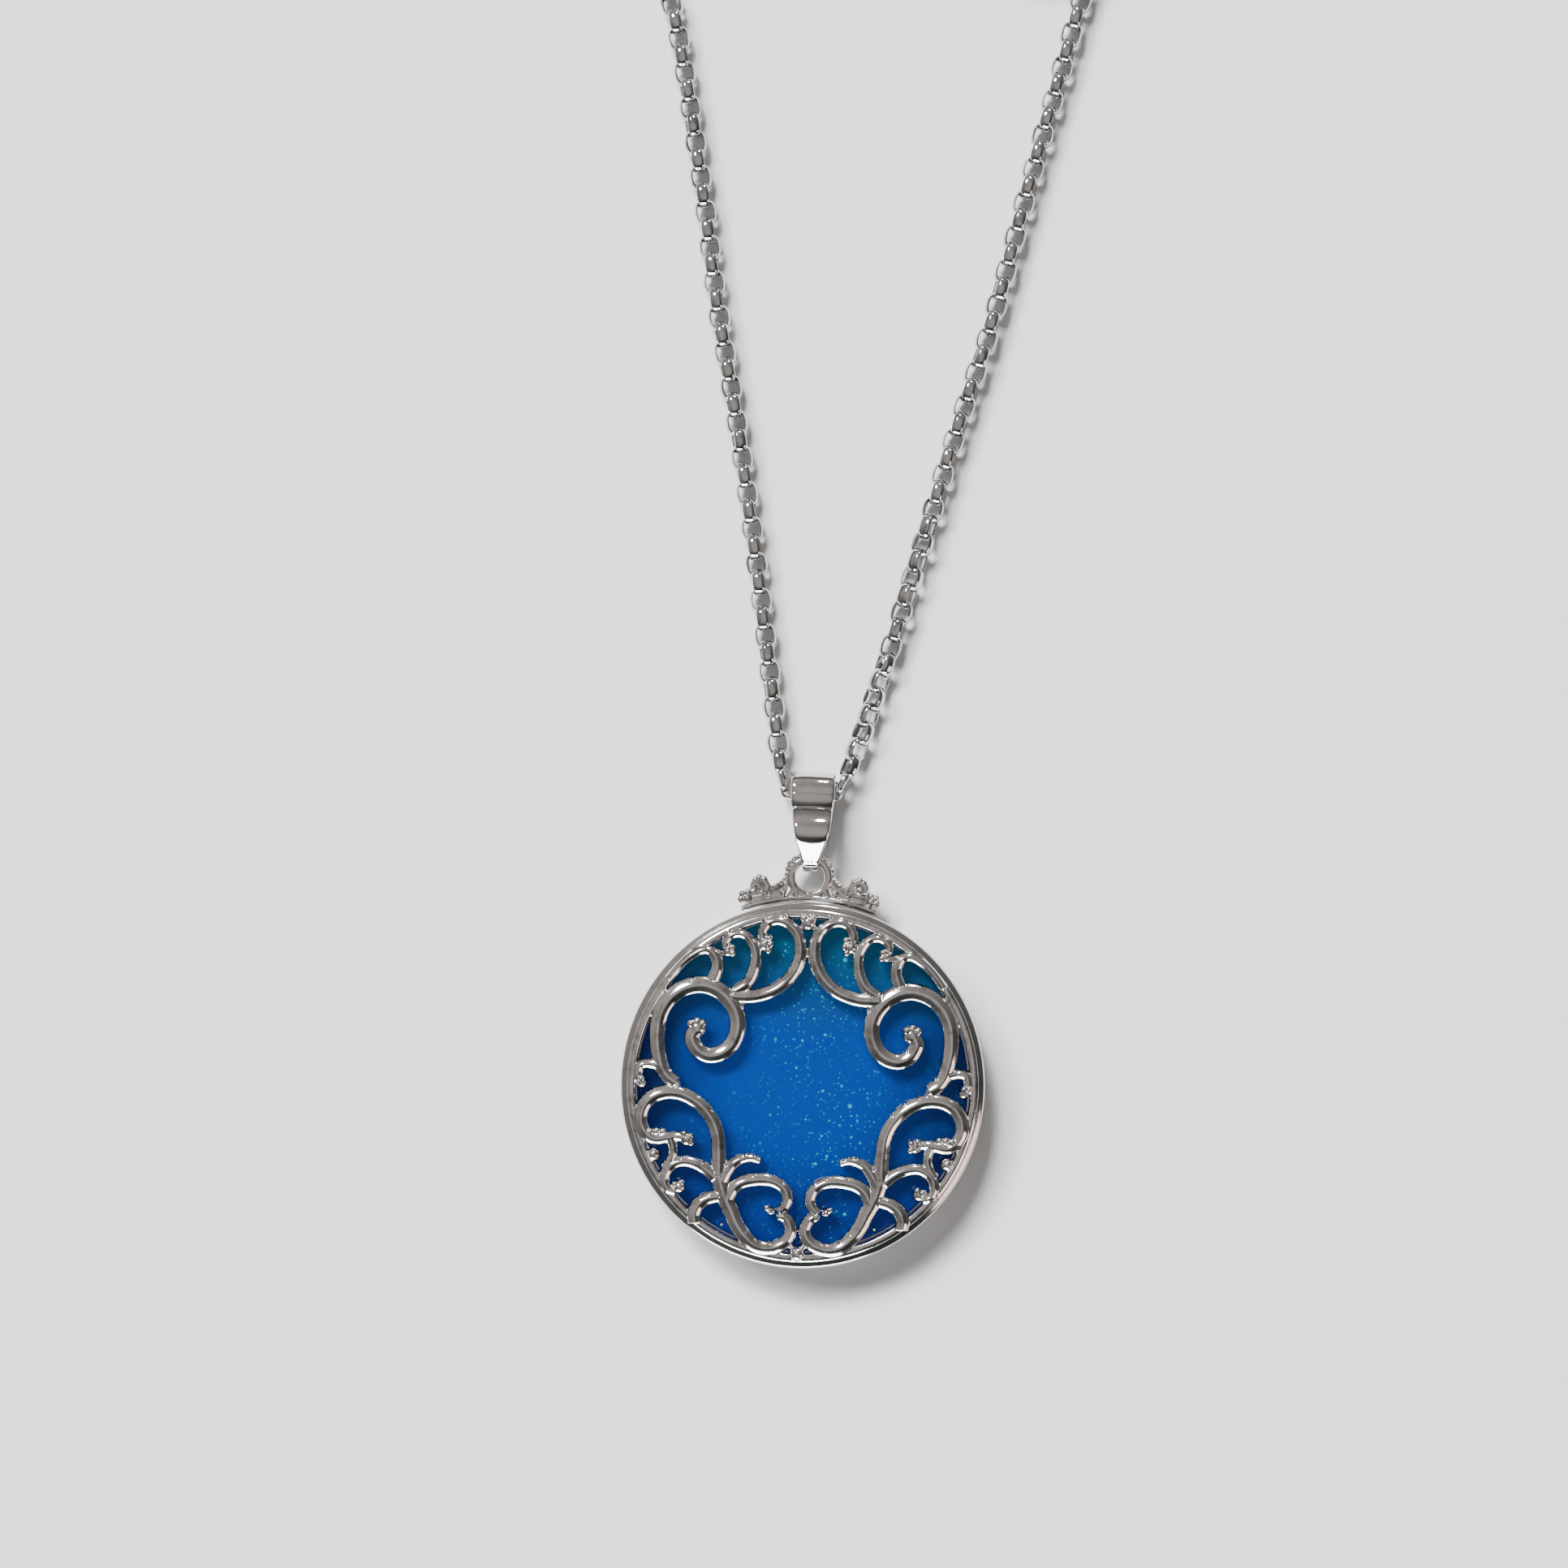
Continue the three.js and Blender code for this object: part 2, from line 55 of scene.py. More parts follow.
def make_camera():
    """Looks almost straight down on the lower part of the necklace, as the photograph does."""
    back = Vector((0, math.sin(CAMERA_TILT), math.cos(CAMERA_TILT)))
    right0 = Vector((1, 0, 0))
    up0 = back.cross(right0)
    right = right0 * math.cos(CAMERA_ROLL) + up0 * math.sin(CAMERA_ROLL)
    up = up0 * math.cos(CAMERA_ROLL) - right0 * math.sin(CAMERA_ROLL)
    place = (CAMERA_TARGET + back * CAMERA_DISTANCE) * MM
    data = bpy.data.cameras.new("camera")
    data.sensor_width = CAMERA_SENSOR
    data.lens = CAMERA_LENS
    data.clip_start, data.clip_end = (distance * MM for distance in CAMERA_CLIP)
    camera = bpy.data.objects.new("camera", data)
    camera.matrix_world = Matrix((
        (right.x, up.x, back.x, place.x),
        (right.y, up.y, back.y, place.y),
        (right.z, up.z, back.z, place.z),
        (0, 0, 0, 1),
    ))
    scene.collection.objects.link(camera)
    scene.camera = camera


make_camera()


# ---- mesh helpers, all in millimetres -----------------------------------------------------------
def face_outward(mesh):
    shell = bmesh.new()
    shell.from_mesh(mesh)
    bmesh.ops.recalc_face_normals(shell, faces=shell.faces)
    shell.to_mesh(mesh)
    shell.free()


def new_object(name, verts, faces, material, crease=40.0):
    """A smooth-shaded mesh object, sharp where its faces turn by more than the crease angle."""
    mesh = bpy.data.meshes.new(name)
    mesh.from_pydata([tuple(float(c) * MM for c in v) for v in verts], [], faces)
    face_outward(mesh)
    mesh.shade_smooth()
    mesh.set_sharp_from_angle(angle=math.radians(crease))
    mesh.materials.append(material)
    obj = bpy.data.objects.new(name, mesh)
    scene.collection.objects.link(obj)
    return obj


def casting(name, parts, voxel, passes, material):
    """One seamless body from closed parts that overlap, with its corners softened in a few passes."""
    verts, faces = merge(parts)
    rough = bpy.data.meshes.new(name)
    rough.from_pydata([tuple(map(float, v)) for v in verts], [], faces)
    face_outward(rough)
    obj = bpy.data.objects.new(name, rough)
    scene.collection.objects.link(obj)
    fuse = obj.modifiers.new("fuse", "REMESH")
    fuse.mode = "VOXEL"
    fuse.voxel_size = voxel
    soften = obj.modifiers.new("soften", "SMOOTH")
    soften.factor = 0.5
    soften.iterations = passes
    finished = obj.evaluated_get(bpy.context.evaluated_depsgraph_get())
    mesh = bpy.data.meshes.new_from_object(finished)
    obj.modifiers.clear()
    obj.data = mesh
    mesh.name = name
    mesh.transform(Matrix.Scale(MM, 4))
    mesh.shade_smooth()
    mesh.materials.clear()
    mesh.materials.append(material)
    return obj


CURVE_STEPS = 24            # points worked out between two given ones, before they are spaced evenly


def catmull(points, spacing):
    """Points at an even spacing along a smooth curve through the given ones."""
    p = np.array(points, float)
    p = np.vstack([2 * p[0] - p[1], p, 2 * p[-1] - p[-2]])
    dense = []
    for i in range(1, len(p) - 2):
        for t in np.linspace(0, 1, CURVE_STEPS, endpoint=False):
            a, b, c, d = p[i - 1], p[i], p[i + 1], p[i + 2]
            dense.append(0.5 * (2 * b + (c - a) * t + (2 * a - 5 * b + 4 * c - d) * t * t
                                + (3 * b - a - 3 * c + d) * t ** 3))
    dense.append(p[-2])
    return even(dense, spacing)


def distances(points):
    """How far along a line each of its points is."""
    return np.concatenate([[0], np.cumsum(np.linalg.norm(np.diff(points, axis=0), axis=1))])


def resample(points, at):
    """The points of a line at the given distances along it."""
    run = distances(points)
    return np.stack([np.interp(at, run, points[:, k]) for k in range(points.shape[1])], axis=1)


def even(points, spacing):
    """The same line, with its points at an even spacing."""
    points = np.array(points, float)
    length = distances(points)[-1]
    count = max(2, int(round(length / spacing)) + 1)
    return resample(points, np.linspace(0, length, count))


def loft(sections, closed=False):
    """Vertices and faces of equal rings of 3-D points joined in order, capped unless closed."""
    n = len(sections[0])
    count = len(sections)
    faces = []
    for i in range(count if closed else count - 1):
        j = (i + 1) % count
        for k in range(n):
            m = (k + 1) % n
            faces.append((i * n + k, i * n + m, j * n + m, j * n + k))
    if not closed:
        faces.append(tuple(range(n - 1, -1, -1)))
        faces.append(tuple((count - 1) * n + k for k in range(n)))
    return np.vstack(sections), faces


def merge(parts):
    """One list of vertices and faces from several."""
    verts, faces, base = [], [], 0
    for v, f in parts:
        verts.append(np.asarray(v, float))
        faces += [tuple(base + k for k in face) for face in f]
        base += len(v)
    return np.vstack(verts), faces


def turned(profile, segments):
    """A body turned about Z from a closed profile of (radius, height)."""
    profile = np.array(profile, float)
    rings = []
    for a in np.arange(segments) * 2 * math.pi / segments:
        radius, height = profile.T
        rings.append(np.column_stack([radius * math.cos(a), radius * math.sin(a), height]))
    return loft(rings, closed=True)


def arc(cx, cy, r, start, end, steps):
    """Points of a circular arc, its angles in degrees."""
    return [(cx + r * math.cos(math.radians(a)), cy + r * math.sin(math.radians(a)))
            for a in np.linspace(start, end, steps + 1)]


def ball(center, r, squash=1.0, n=20):
    """A round bead, flattened or stretched in height by squash."""
    rings = []
    for i in range(1, n // 2):
        t = math.pi * i / (n // 2)
        rings.append([(r * math.sin(t) * math.cos(2 * math.pi * k / n),
                       r * math.sin(t) * math.sin(2 * math.pi * k / n),
                       -r * squash * math.cos(t)) for k in range(n)])
    pole = (0, 0, r * squash)
    verts = np.array([(0, 0, -r * squash)] + [p for ring in rings for p in ring] + [pole])
    faces = []
    for k in range(n):
        m = (k + 1) % n
        faces.append((0, 1 + m, 1 + k))
        for i in range(len(rings) - 1):
            a = 1 + i * n
            faces.append((a + k, a + m, a + n + m, a + n + k))
        top = 1 + (len(rings) - 1) * n
        faces.append((top + k, top + m, len(verts) - 1))
    return verts + np.array(center), faces


AXIS_GAP = 0.001             # a turned profile that meets the axis stops this far from it
WIRE_TIP = 0.3              # size of a wire's flat tip, as a part of the wire


def wire(points, r, sides=12, closed=False, spacing=0.08):
    """A round wire along a smooth path, with rounded ends where it is open."""
    line = even(points, spacing) if closed else catmull(points, spacing)
    if closed:
        line = line[:-1]
    ahead = np.roll(line, -1, 0) - np.roll(line, 1, 0)
    if not closed:
        ahead[0], ahead[-1] = line[1] - line[0], line[-1] - line[-2]
    ahead /= np.linalg.norm(ahead, axis=1)[:, None]
    side = np.cross(ahead[0], (0, 0, 1) if abs(ahead[0][2]) < 0.9 else (1, 0, 0))
    angles = np.arange(sides) * 2 * math.pi / sides
    rings = []
    for i, (p, t) in enumerate(zip(line, ahead)):
        side = side - t * np.dot(side, t)
        side /= np.linalg.norm(side)
        up = np.cross(t, side)
        from_end = r if closed else min(i, len(line) - 1 - i) * spacing
        size = r * (math.sqrt(1 - (1 - from_end / r) ** 2) if from_end < r else 1)
        size = max(size, WIRE_TIP * r)
        rings.append(p + size * (np.cos(angles)[:, None] * side + np.sin(angles)[:, None] * up))
    return loft(rings, closed=closed)


def plate(outline, z0, z1, holes=()):
    """A flat plate between two heights, cut to an outline with holes."""
    curve = bpy.data.curves.new("outline", "CURVE")
    curve.dimensions = "2D"
    curve.fill_mode = "BOTH"
    curve.extrude = (z1 - z0) / 2
    for loop in (outline, *holes):
        spline = curve.splines.new("POLY")
        spline.points.add(len(loop) - 1)
        for point, (x, y) in zip(spline.points, loop):
            point.co = (x, y, 0, 1)
        spline.use_cyclic_u = True
    flat = bpy.data.objects.new("outline", curve)
    mesh = bpy.data.meshes.new_from_object(flat)
    weld = bmesh.new()
    weld.from_mesh(mesh)
    bmesh.ops.remove_doubles(weld, verts=weld.verts, dist=1e-5)
    verts = np.array([v.co for v in weld.verts]) + np.array((0, 0, (z0 + z1) / 2))
    faces = [tuple(v.index for v in f.verts) for f in weld.faces]
    weld.free()
    bpy.data.objects.remove(flat)
    bpy.data.curves.remove(curve)
    bpy.data.meshes.remove(mesh)
    return verts, faces


def bezier(a, b, c, d, steps=14):
    """Points of a cubic curve, without its first."""
    out = []
    for i in range(1, steps + 1):
        t = i / steps
        u = 1 - t
        weights = (u ** 3, 3 * u * u * t, 3 * u * t * t, t ** 3)
        out.append(tuple(sum(w * point[k] for w, point in zip(weights, (a, b, c, d))) for k in (0, 1)))
    return out


def quadratic(a, b, c, steps=10):
    """Points of a curve from a to c that leans towards b, without its first."""
    near_a = tuple((a[k] + 2 * b[k]) / 3 for k in (0, 1))
    near_c = tuple((c[k] + 2 * b[k]) / 3 for k in (0, 1))
    return bezier(a, near_a, near_c, c, steps)


def shifted(part, offset):
    verts, faces = part
    return verts + np.array(offset, float), faces


def ease(x, a, b):
    """Rises smoothly from 0 at a to 1 at b."""
    t = min(max((x - a) / (b - a), 0), 1)
    return t * t * (3 - 2 * t)


# ---- materials ---------------------------------------------------------------------------------
def nodes_of(name):
    """A new material, its node tree, its shader and the object's own coordinates, in metres."""
    material = bpy.data.materials.new(name)
    material.use_nodes = True
    tree = material.node_tree
    tree.nodes.clear()
    shader = tree.nodes.new("ShaderNodeBsdfPrincipled")
    out = tree.nodes.new("ShaderNodeOutputMaterial")
    tree.links.new(shader.outputs["BSDF"], out.inputs["Surface"])
    where = tree.nodes.new("ShaderNodeTexCoord").outputs["Object"]
    return material, tree, shader, where


def noise(tree, where, scale, detail, rough):
    node = tree.nodes.new("ShaderNodeTexNoise")
    for key, value in (("Scale", scale), ("Detail", detail), ("Roughness", rough)):
        node.inputs[key].default_value = value
    tree.links.new(where, node.inputs["Vector"])
    return node.outputs["Fac"]


def ramp(tree, value, stops):
    """A colour for each value, from stops of (value, colour)."""
    node = tree.nodes.new("ShaderNodeValToRGB")
    stages = node.color_ramp.elements
    while len(stages) < len(stops):
        stages.new(0.5)
    for stage, (at, colour) in zip(stages, stops):
        stage.position = at
        stage.color = (*colour, 1)
    tree.links.new(value, node.inputs["Fac"])
    return node.outputs["Color"]


def remap(tree, value, from_min, from_max, to_min, to_max):
    node = tree.nodes.new("ShaderNodeMapRange")
    limits = {"From Min": from_min, "From Max": from_max, "To Min": to_min, "To Max": to_max}
    for key, limit in limits.items():
        node.inputs[key].default_value = limit
    tree.links.new(value, node.inputs["Value"])
    return node.outputs["Result"]


def calculate(tree, operation, a, b):
    """One calculation with two values, each a number or another node's output."""
    node = tree.nodes.new("ShaderNodeMath")
    node.operation = operation
    for socket, value in zip(node.inputs, (a, b)):
        if isinstance(value, (int, float)):
            socket.default_value = value
        else:
            tree.links.new(value, socket)
    return node.outputs["Value"]


def mix(tree, factor, a, b):
    """Colour a where the factor is 0 and b where it is 1, each a colour or another node's output."""
    node = tree.nodes.new("ShaderNodeMix")
    node.data_type = "RGBA"
    tree.links.new(factor, node.inputs["Factor"])
    for socket, value in ((node.inputs["A"], a), (node.inputs["B"], b)):
        if isinstance(value, tuple):
            socket.default_value = (*value, 1)
        else:
            tree.links.new(value, socket)
    return node.outputs["Result"]


# Each noise is its scale in waves per metre, its detail and its roughness.
TARNISH = (900.0, 4.0, 0.6)
POLISH_MARKS = (5200.0, 6.0, 0.7)
CAST_SKIN = (2600.0, 4.0, 0.6)
SKIN_DEPTH = 0.00005


def silver(name, tone=(0.80, 0.785, 0.77), dark=(0.42, 0.41, 0.40), rough=(0.06, 0.16), bump=0.03):
    """Polished silver: faint tarnish in patches, uneven polish and a slightly rippled cast skin."""
    material, tree, shader, where = nodes_of(name)
    link = tree.links.new
    shader.inputs["Metallic"].default_value = 1.0
    tarnish = ramp(tree, noise(tree, where, *TARNISH), [(0.30, dark), (0.52, tone), (1.0, tone)])
    link(tarnish, shader.inputs["Base Color"])
    link(remap(tree, noise(tree, where, *POLISH_MARKS), 0.3, 0.75, *rough), shader.inputs["Roughness"])
    rippled = tree.nodes.new("ShaderNodeBump")
    rippled.inputs["Strength"].default_value = bump
    rippled.inputs["Distance"].default_value = SKIN_DEPTH
    link(noise(tree, where, *CAST_SKIN), rippled.inputs["Height"])
    link(rippled.outputs["Normal"], shader.inputs["Normal"])
    return material


CAST = silver("cast_silver")
# The case's silver is darker than the cast silver: a shaded copy of it, painted shade on the case's rim.
SHADED_CASE_SILVER = silver("shaded_case_silver", tone=(0.60, 0.595, 0.585), dark=(0.53, 0.525, 0.515), rough=(0.07, 0.14),
              bump=0.02)
BAIL = silver("polished_silver", dark=(0.70, 0.69, 0.68), rough=(0.03, 0.07), bump=0.004)
# The chain's silver is darker too: a shaded copy of the cast silver, painted shade on the links.
SHADED_CHAIN_SILVER = silver("chain_silver", tone=(0.68, 0.69, 0.69), dark=(0.34, 0.34, 0.335), rough=(0.05, 0.12),
               bump=0.015)
FINDING = silver("finding_silver", rough=(0.06, 0.14), bump=0.015)


# The inlay's sizes are in metres, as the coordinates in its material are.
INLAY_CLOUDS = (260.0, 3.0, 0.6)
INLAY_PATCHES = (210.0, 2.0, 0.5)
CLOUD_SPREAD = 0.0035        # how far a cloud moves the border between two blues
CLOUD_LIFT = 0.004           # how far it moves the border of the teal or of the deeper blue
BLUES_REACH = 0.0115
# The blues darken outwards: partly the inlay's own colour, partly painted shade round the curls and under the
# rim.
BLUES_AND_PAINTED_SHADE = [                    # from the middle, 0, out to that reach, 1
    (0.0, (0.0, 0.018, 0.125)), (0.42, (0.0, 0.0175, 0.119)), (0.66, (0.0, 0.012, 0.08)),
    (0.82, (0.0, 0.009, 0.056)), (1.0, (0.0, 0.004, 0.032)),
]
# Darker teal towards the bail: partly the inlay's own teal, partly painted shade under the upper curls.
TEAL_AND_PAINTED_SHADE = (0.0, 0.028, 0.060)
DEEPER_BLUE = (0.0, 0.009, 0.085)
GLITTER = (0.01, 0.42, 0.46)
GLITTER_MIDDLE_X = 0.0008
# strength of the inlay's painted glow: light given off though it is no lamp
INLAY_PAINTED_GLOW = 1.45


def inlay_colour(tree, where, y, radius):
    """Blues in cloudy rings, darker outwards, turning a darker teal towards the bail and a deeper blue away
    from it; the outward darkening and the teal are partly painted shade.
    """
    cloud = calculate(tree, "SUBTRACT", noise(tree, where, *INLAY_CLOUDS), 0.5)
    spread = calculate(tree, "ADD", radius, calculate(tree, "MULTIPLY", cloud, CLOUD_SPREAD))
    height = calculate(tree, "ADD", y, calculate(tree, "MULTIPLY", cloud, CLOUD_LIFT))
    body = ramp(tree, remap(tree, spread, 0.0, BLUES_REACH, 0, 1), BLUES_AND_PAINTED_SHADE)
    body = mix(tree, remap(tree, height, 0.0035, 0.0098, 0, 0.9), body, TEAL_AND_PAINTED_SHADE)
    return mix(tree, remap(tree, height, -0.004, -0.011, 0, 0.75), body, DEEPER_BLUE)


def glitter(tree, where, scale, size, left_out):
    """One point of random brightness in each cell, apart from the share of cells that is left out."""
    cells = tree.nodes.new("ShaderNodeTexVoronoi")
    cells.inputs["Scale"].default_value = scale
    tree.links.new(where, cells.inputs["Vector"])
    drawn = tree.nodes.new("ShaderNodeSeparateColor")
    tree.links.new(cells.outputs["Color"], drawn.inputs[0])
    chance, reach, shine = drawn.outputs
    reach = calculate(tree, "MULTIPLY", reach, size)
    spot = calculate(tree, "SUBTRACT", 1.0, calculate(tree, "DIVIDE", cells.outputs["Distance"], reach))
    lit = calculate(tree, "MULTIPLY", calculate(tree, "MAXIMUM", spot, 0.0), 1.8)
    lit = calculate(tree, "MULTIPLY", lit, remap(tree, shine, 0, 1, 0.35, 1))
    return calculate(tree, "MULTIPLY", lit, calculate(tree, "GREATER_THAN", chance, left_out))


def inlay_specks(tree, where, x):
    """Three sizes of glitter, thickest in an upright band a little right of the middle."""
    off_band = calculate(tree, "ABSOLUTE", calculate(tree, "SUBTRACT", x, GLITTER_MIDDLE_X), 0.0)
    patches = remap(tree, noise(tree, where, *INLAY_PATCHES), 0.36, 0.6, 0.3, 1)
    band = calculate(tree, "MULTIPLY", remap(tree, off_band, 0.0015, 0.0065, 1, 0.12), patches)
    large = glitter(tree, where, 1500.0, 0.30, 0.72)
    small = glitter(tree, where, 2600.0, 0.34, 0.62)
    dust = calculate(tree, "MULTIPLY", glitter(tree, where, 5200.0, 0.5, 0.45), 0.45)
    sparks = calculate(tree, "MAXIMUM", large, small)
    return calculate(tree, "MULTIPLY", calculate(tree, "MAXIMUM", sparks, dust), band)


def blue_opal():
    """Deep blue glossy inlay, with fine glitter below its gloss and a painted glow of its own blues."""
    material, tree, shader, where = nodes_of("blue_opal")
    link = tree.links.new
    place = tree.nodes.new("ShaderNodeSeparateXYZ")
    link(where, place.inputs[0])
    x, y, _ = place.outputs
    flat = tree.nodes.new("ShaderNodeCombineXYZ")
    link(x, flat.inputs["X"])
    link(y, flat.inputs["Y"])
    radius = tree.nodes.new("ShaderNodeVectorMath")
    radius.operation = "LENGTH"
    link(flat.outputs[0], radius.inputs[0])

    body = inlay_colour(tree, where, y, radius.outputs["Value"])
    specks = inlay_specks(tree, where, x)
    link(mix(tree, specks, body, GLITTER), shader.inputs["Base Color"])
    link(calculate(tree, "MULTIPLY", specks, 0.3), shader.inputs["Metallic"])
    # Painted light: the inlay glows with its own blues, so the scrollwork's shadows on it stay pale.
    link(body, shader.inputs["Emission Color"])
    for key, value in (("Emission Strength", INLAY_PAINTED_GLOW), ("Roughness", 0.6), ("Specular IOR Level", 0.05),
                       ("Coat Weight", 0.35), ("Coat Roughness", 0.04)):
        shader.inputs[key].default_value = value
    return material


BLUE = blue_opal()


def install(piece, body, slot, *nodes):
    """Ties a finished piece to the body it moves with and hides the CAD nodes that it stands for."""
    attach(piece, body)
    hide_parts(*nodes)
    return piece


# ---- chain links ---------------------------------------------------------------------------------
LINK_PITCH = 1.27
LINK_LENGTH = 1.92
LINK_WIDTH = 1.53
LINK_WALL = 0.2
LINK_BAND = 0.82             # height of the flat band that a link is bent from
BAIL_LINK_BAND = 0.5
CHAIN_Z = LINK_WIDTH / 2
BAIL_CONTACTS = [(-2.3, 21.72), (-1.95, 20.5), (-0.72, 20.22), (0.55, 20.22), (1.8, 20.42), (2.35, 21.56)]
BAIL_LINK_Z = [1.0, 1.15, 1.25, 1.15, 1.0]


def link_shape(band, steps=44):
    """One belcher link about its own centre: X along the chain, Y across, Z across its flat band."""
    half = band / 2
    wall = LINK_WALL
    section = [(0.02, -half), (wall * 0.3, -half), (wall * 0.75, -half * 0.8), (wall, -half * 0.5),
               (wall, half * 0.5), (wall * 0.75, half * 0.8), (wall * 0.3, half), (0.02, half),
               (0, half * 0.8), (0, -half * 0.8)]
    inner_r = LINK_WIDTH / 2 - wall
    straight = LINK_LENGTH / 2 - LINK_WIDTH / 2
    rings = []
    for i in range(steps):
        a = 2 * math.pi * i / steps
        shift = straight * max(-1, min(1, 2.2 * math.cos(a)))
        rings.append(np.array([[shift + (inner_r + r) * math.cos(a), (inner_r + r) * math.sin(a), z]
                               for r, z in section]))
    return loft(rings, closed=True)


LINK = link_shape(LINK_BAND)
BAIL_LINK = link_shape(BAIL_LINK_BAND)


def placed_link(shape, p, q, roll):
    """A link from contact point p to q, rolled about its own length."""
    p, q = np.array(p, float), np.array(q, float)
    along = (q - p) / np.linalg.norm(q - p)
    across = np.cross([0, 0, 1], along)
    across /= np.linalg.norm(across)
    up = np.cross(along, across)
    c, s = math.cos(roll), math.sin(roll)
    basis = np.array([along, across * c + up * s, up * c - across * s])
    return shape[0] @ basis + (p + q) / 2, shape[1]


for i, z in enumerate(BAIL_LINK_Z):
    on_edge = math.pi / 2 if i % 2 == 0 else 0
    link = placed_link(BAIL_LINK, (*BAIL_CONTACTS[i], z), (*BAIL_CONTACTS[i + 1], z), on_edge)
    install(new_object(f"bail_ring_{i + 1}", *link, SHADED_CHAIN_SILVER), "chain", "chain_silver", f"bail_link_{i + 1}")

# ---- fittings on the strands' ends ---------------------------------------------------------------
COIL_X = (-8.5, 13.5)
COIL_Y = 89.1
COIL_MEAN_R = 7.5
COIL_SPREAD = 1.28           # how far a coil's outermost and innermost turns lie from its mean radius
COIL_END_R = 8.8
COIL_TURNS = 3
COIL_STEPS = 48              # points in each turn
COIL_CLIMB = (0.46, 0.54)    # where along the coil it climbs from its lower layer to its upper one
END_LINK_Y = 98.6
END_X = (COIL_X[0] - COIL_END_R, COIL_X[1] + COIL_END_R)
LINK_TIP_Y = END_LINK_Y + LINK_LENGTH / 2
JUMP_R, JUMP_WIRE, JUMP_PAST = 1.35, 0.2, 0.3
END_R, END_WIRE, END_PAST = 1.6, 0.25, 0.1

for side, x in zip(("left", "right"), END_X):
    contacts = [(x, END_LINK_Y + way * LINK_PITCH / 2, CHAIN_Z) for way in (-1, 1)]
    link = placed_link(LINK, *contacts, 0)
    install(new_object(f"last_link_{side}", *link, SHADED_CHAIN_SILVER), "chain", "chain_silver", f"{side}_end_link")


def standing_ring(name, r, thick, x, past, cut_deg, material):
    """A round wire ring on edge across the strand, cut at one place where cut_deg is not 0."""
    y, z = LINK_TIP_Y + past, r + thick
    spread = np.radians(np.linspace(90 + cut_deg / 2, 450 - cut_deg / 2, 120))
    line = [(x, y + r * math.cos(a), z + r * math.sin(a)) for a in spread]
    return new_object(name, *wire(line, thick, sides=20, closed=cut_deg == 0, spacing=0.07), material)


install(standing_ring("jump_ring", JUMP_R, JUMP_WIRE, END_X[0], JUMP_PAST, 3.0, FINDING),
        "clasp_ring", "chain_silver", "clasp_jump_ring")
install(standing_ring("closing_ring", END_R, END_WIRE, END_X[1], END_PAST, 0, FINDING),
        "end_ring", "chain_silver", "end_ring")

# ---- lobster clasp: outlines about its eye's centre, +Y to its nose --------------------------------
CLASP_AT = (END_X[0], LINK_TIP_Y + JUMP_PAST + 1.3, 0)
CLASP_H = 2.2
EYE_Z = (0.75, 1.45)
LEVER_Z = (0.7, 1.5)
PIVOT = (0.75, 2.6)
CLASP_RIM = 0.04             # how far inside the clasp's height the claw's two outer plates stop
WAIST_RIM = 0.3              # and how far inside it the waist stops
LEVER_GAP = 0.08             # above and below the lever
LEVER_POCKET_Y = (1.9, 3.8)
EYE_R, EYE_HOLE_R = 1.02, 0.5
RIVET_R, RIVET_HOLE_R = 0.25, 0.33
SPRING_R, SPRING_WIRE, SPRING_TURNS, SPRING_RISE = 0.46, 0.035, 1.5, 0.14
RIVET_AT = (CLASP_AT[0] + PIVOT[0], CLASP_AT[1] + PIVOT[1], 0)


def drawn_outline(start, *pieces):
    """An outline from its first point. A piece is the points after it of a straight line or a curve."""
    draw = {1: lambda a, b: [b], 2: quadratic, 3: bezier}
    points = [start]
    for piece in pieces:
        points += draw[len(piece)](points[-1], *piece)
    return points


CLAW = drawn_outline(
    (-0.45, 0.6),
    ((-0.6, 1.5), (-1.8, 1.8), (-2.0, 3.4)),
    ((-2.3, 5.4), (-1.7, 7.9), (0, 7.95)),
    ((1.0, 7.95), (1.7, 7.2), (1.75, 6.2)),
    ((1.2, 6.1),),
    ((1.0, 6.9), (0.2, 7.1), (-0.3, 6.9)),
    ((-1.4, 6.3), (-1.4, 3.6), (-0.3, 3.3)),
    ((0.6, 3.5),),
    ((1.35, 3.4),),
    ((1.6, 2.3), (0.8, 1.4), (0.45, 0.6)),
)
NECK = [(-0.5, 0.7), (0.5, 0.7), (0.5, 1.3), (-0.5, 1.3)]
LEVER = drawn_outline(
    (0.35, 2.2),
    ((1.3, 2.2),),
    ((1.75, 3.0),),
    ((2.4, 3.0), (2.6, 3.5)),
    ((2.4, 3.9), (1.8, 3.9)),
    ((1.9, 5.0), (1.7, 5.95)),
    ((1.2, 5.9),),
    ((1.4, 4.4), (0.9, 3.6)),
    ((0.35, 3.1),),
)
RIVET_HOLE = arc(*PIVOT, RIVET_HOLE_R, 0, 345, 23)


def clasp_piece(name, parts, voxel, passes, body, node):
    piece = casting(name, parts, voxel, passes, FINDING)
    piece.data.transform(Matrix.Translation(Vector(CLASP_AT) * MM))
    install(piece, body, "clasp_silver", node)


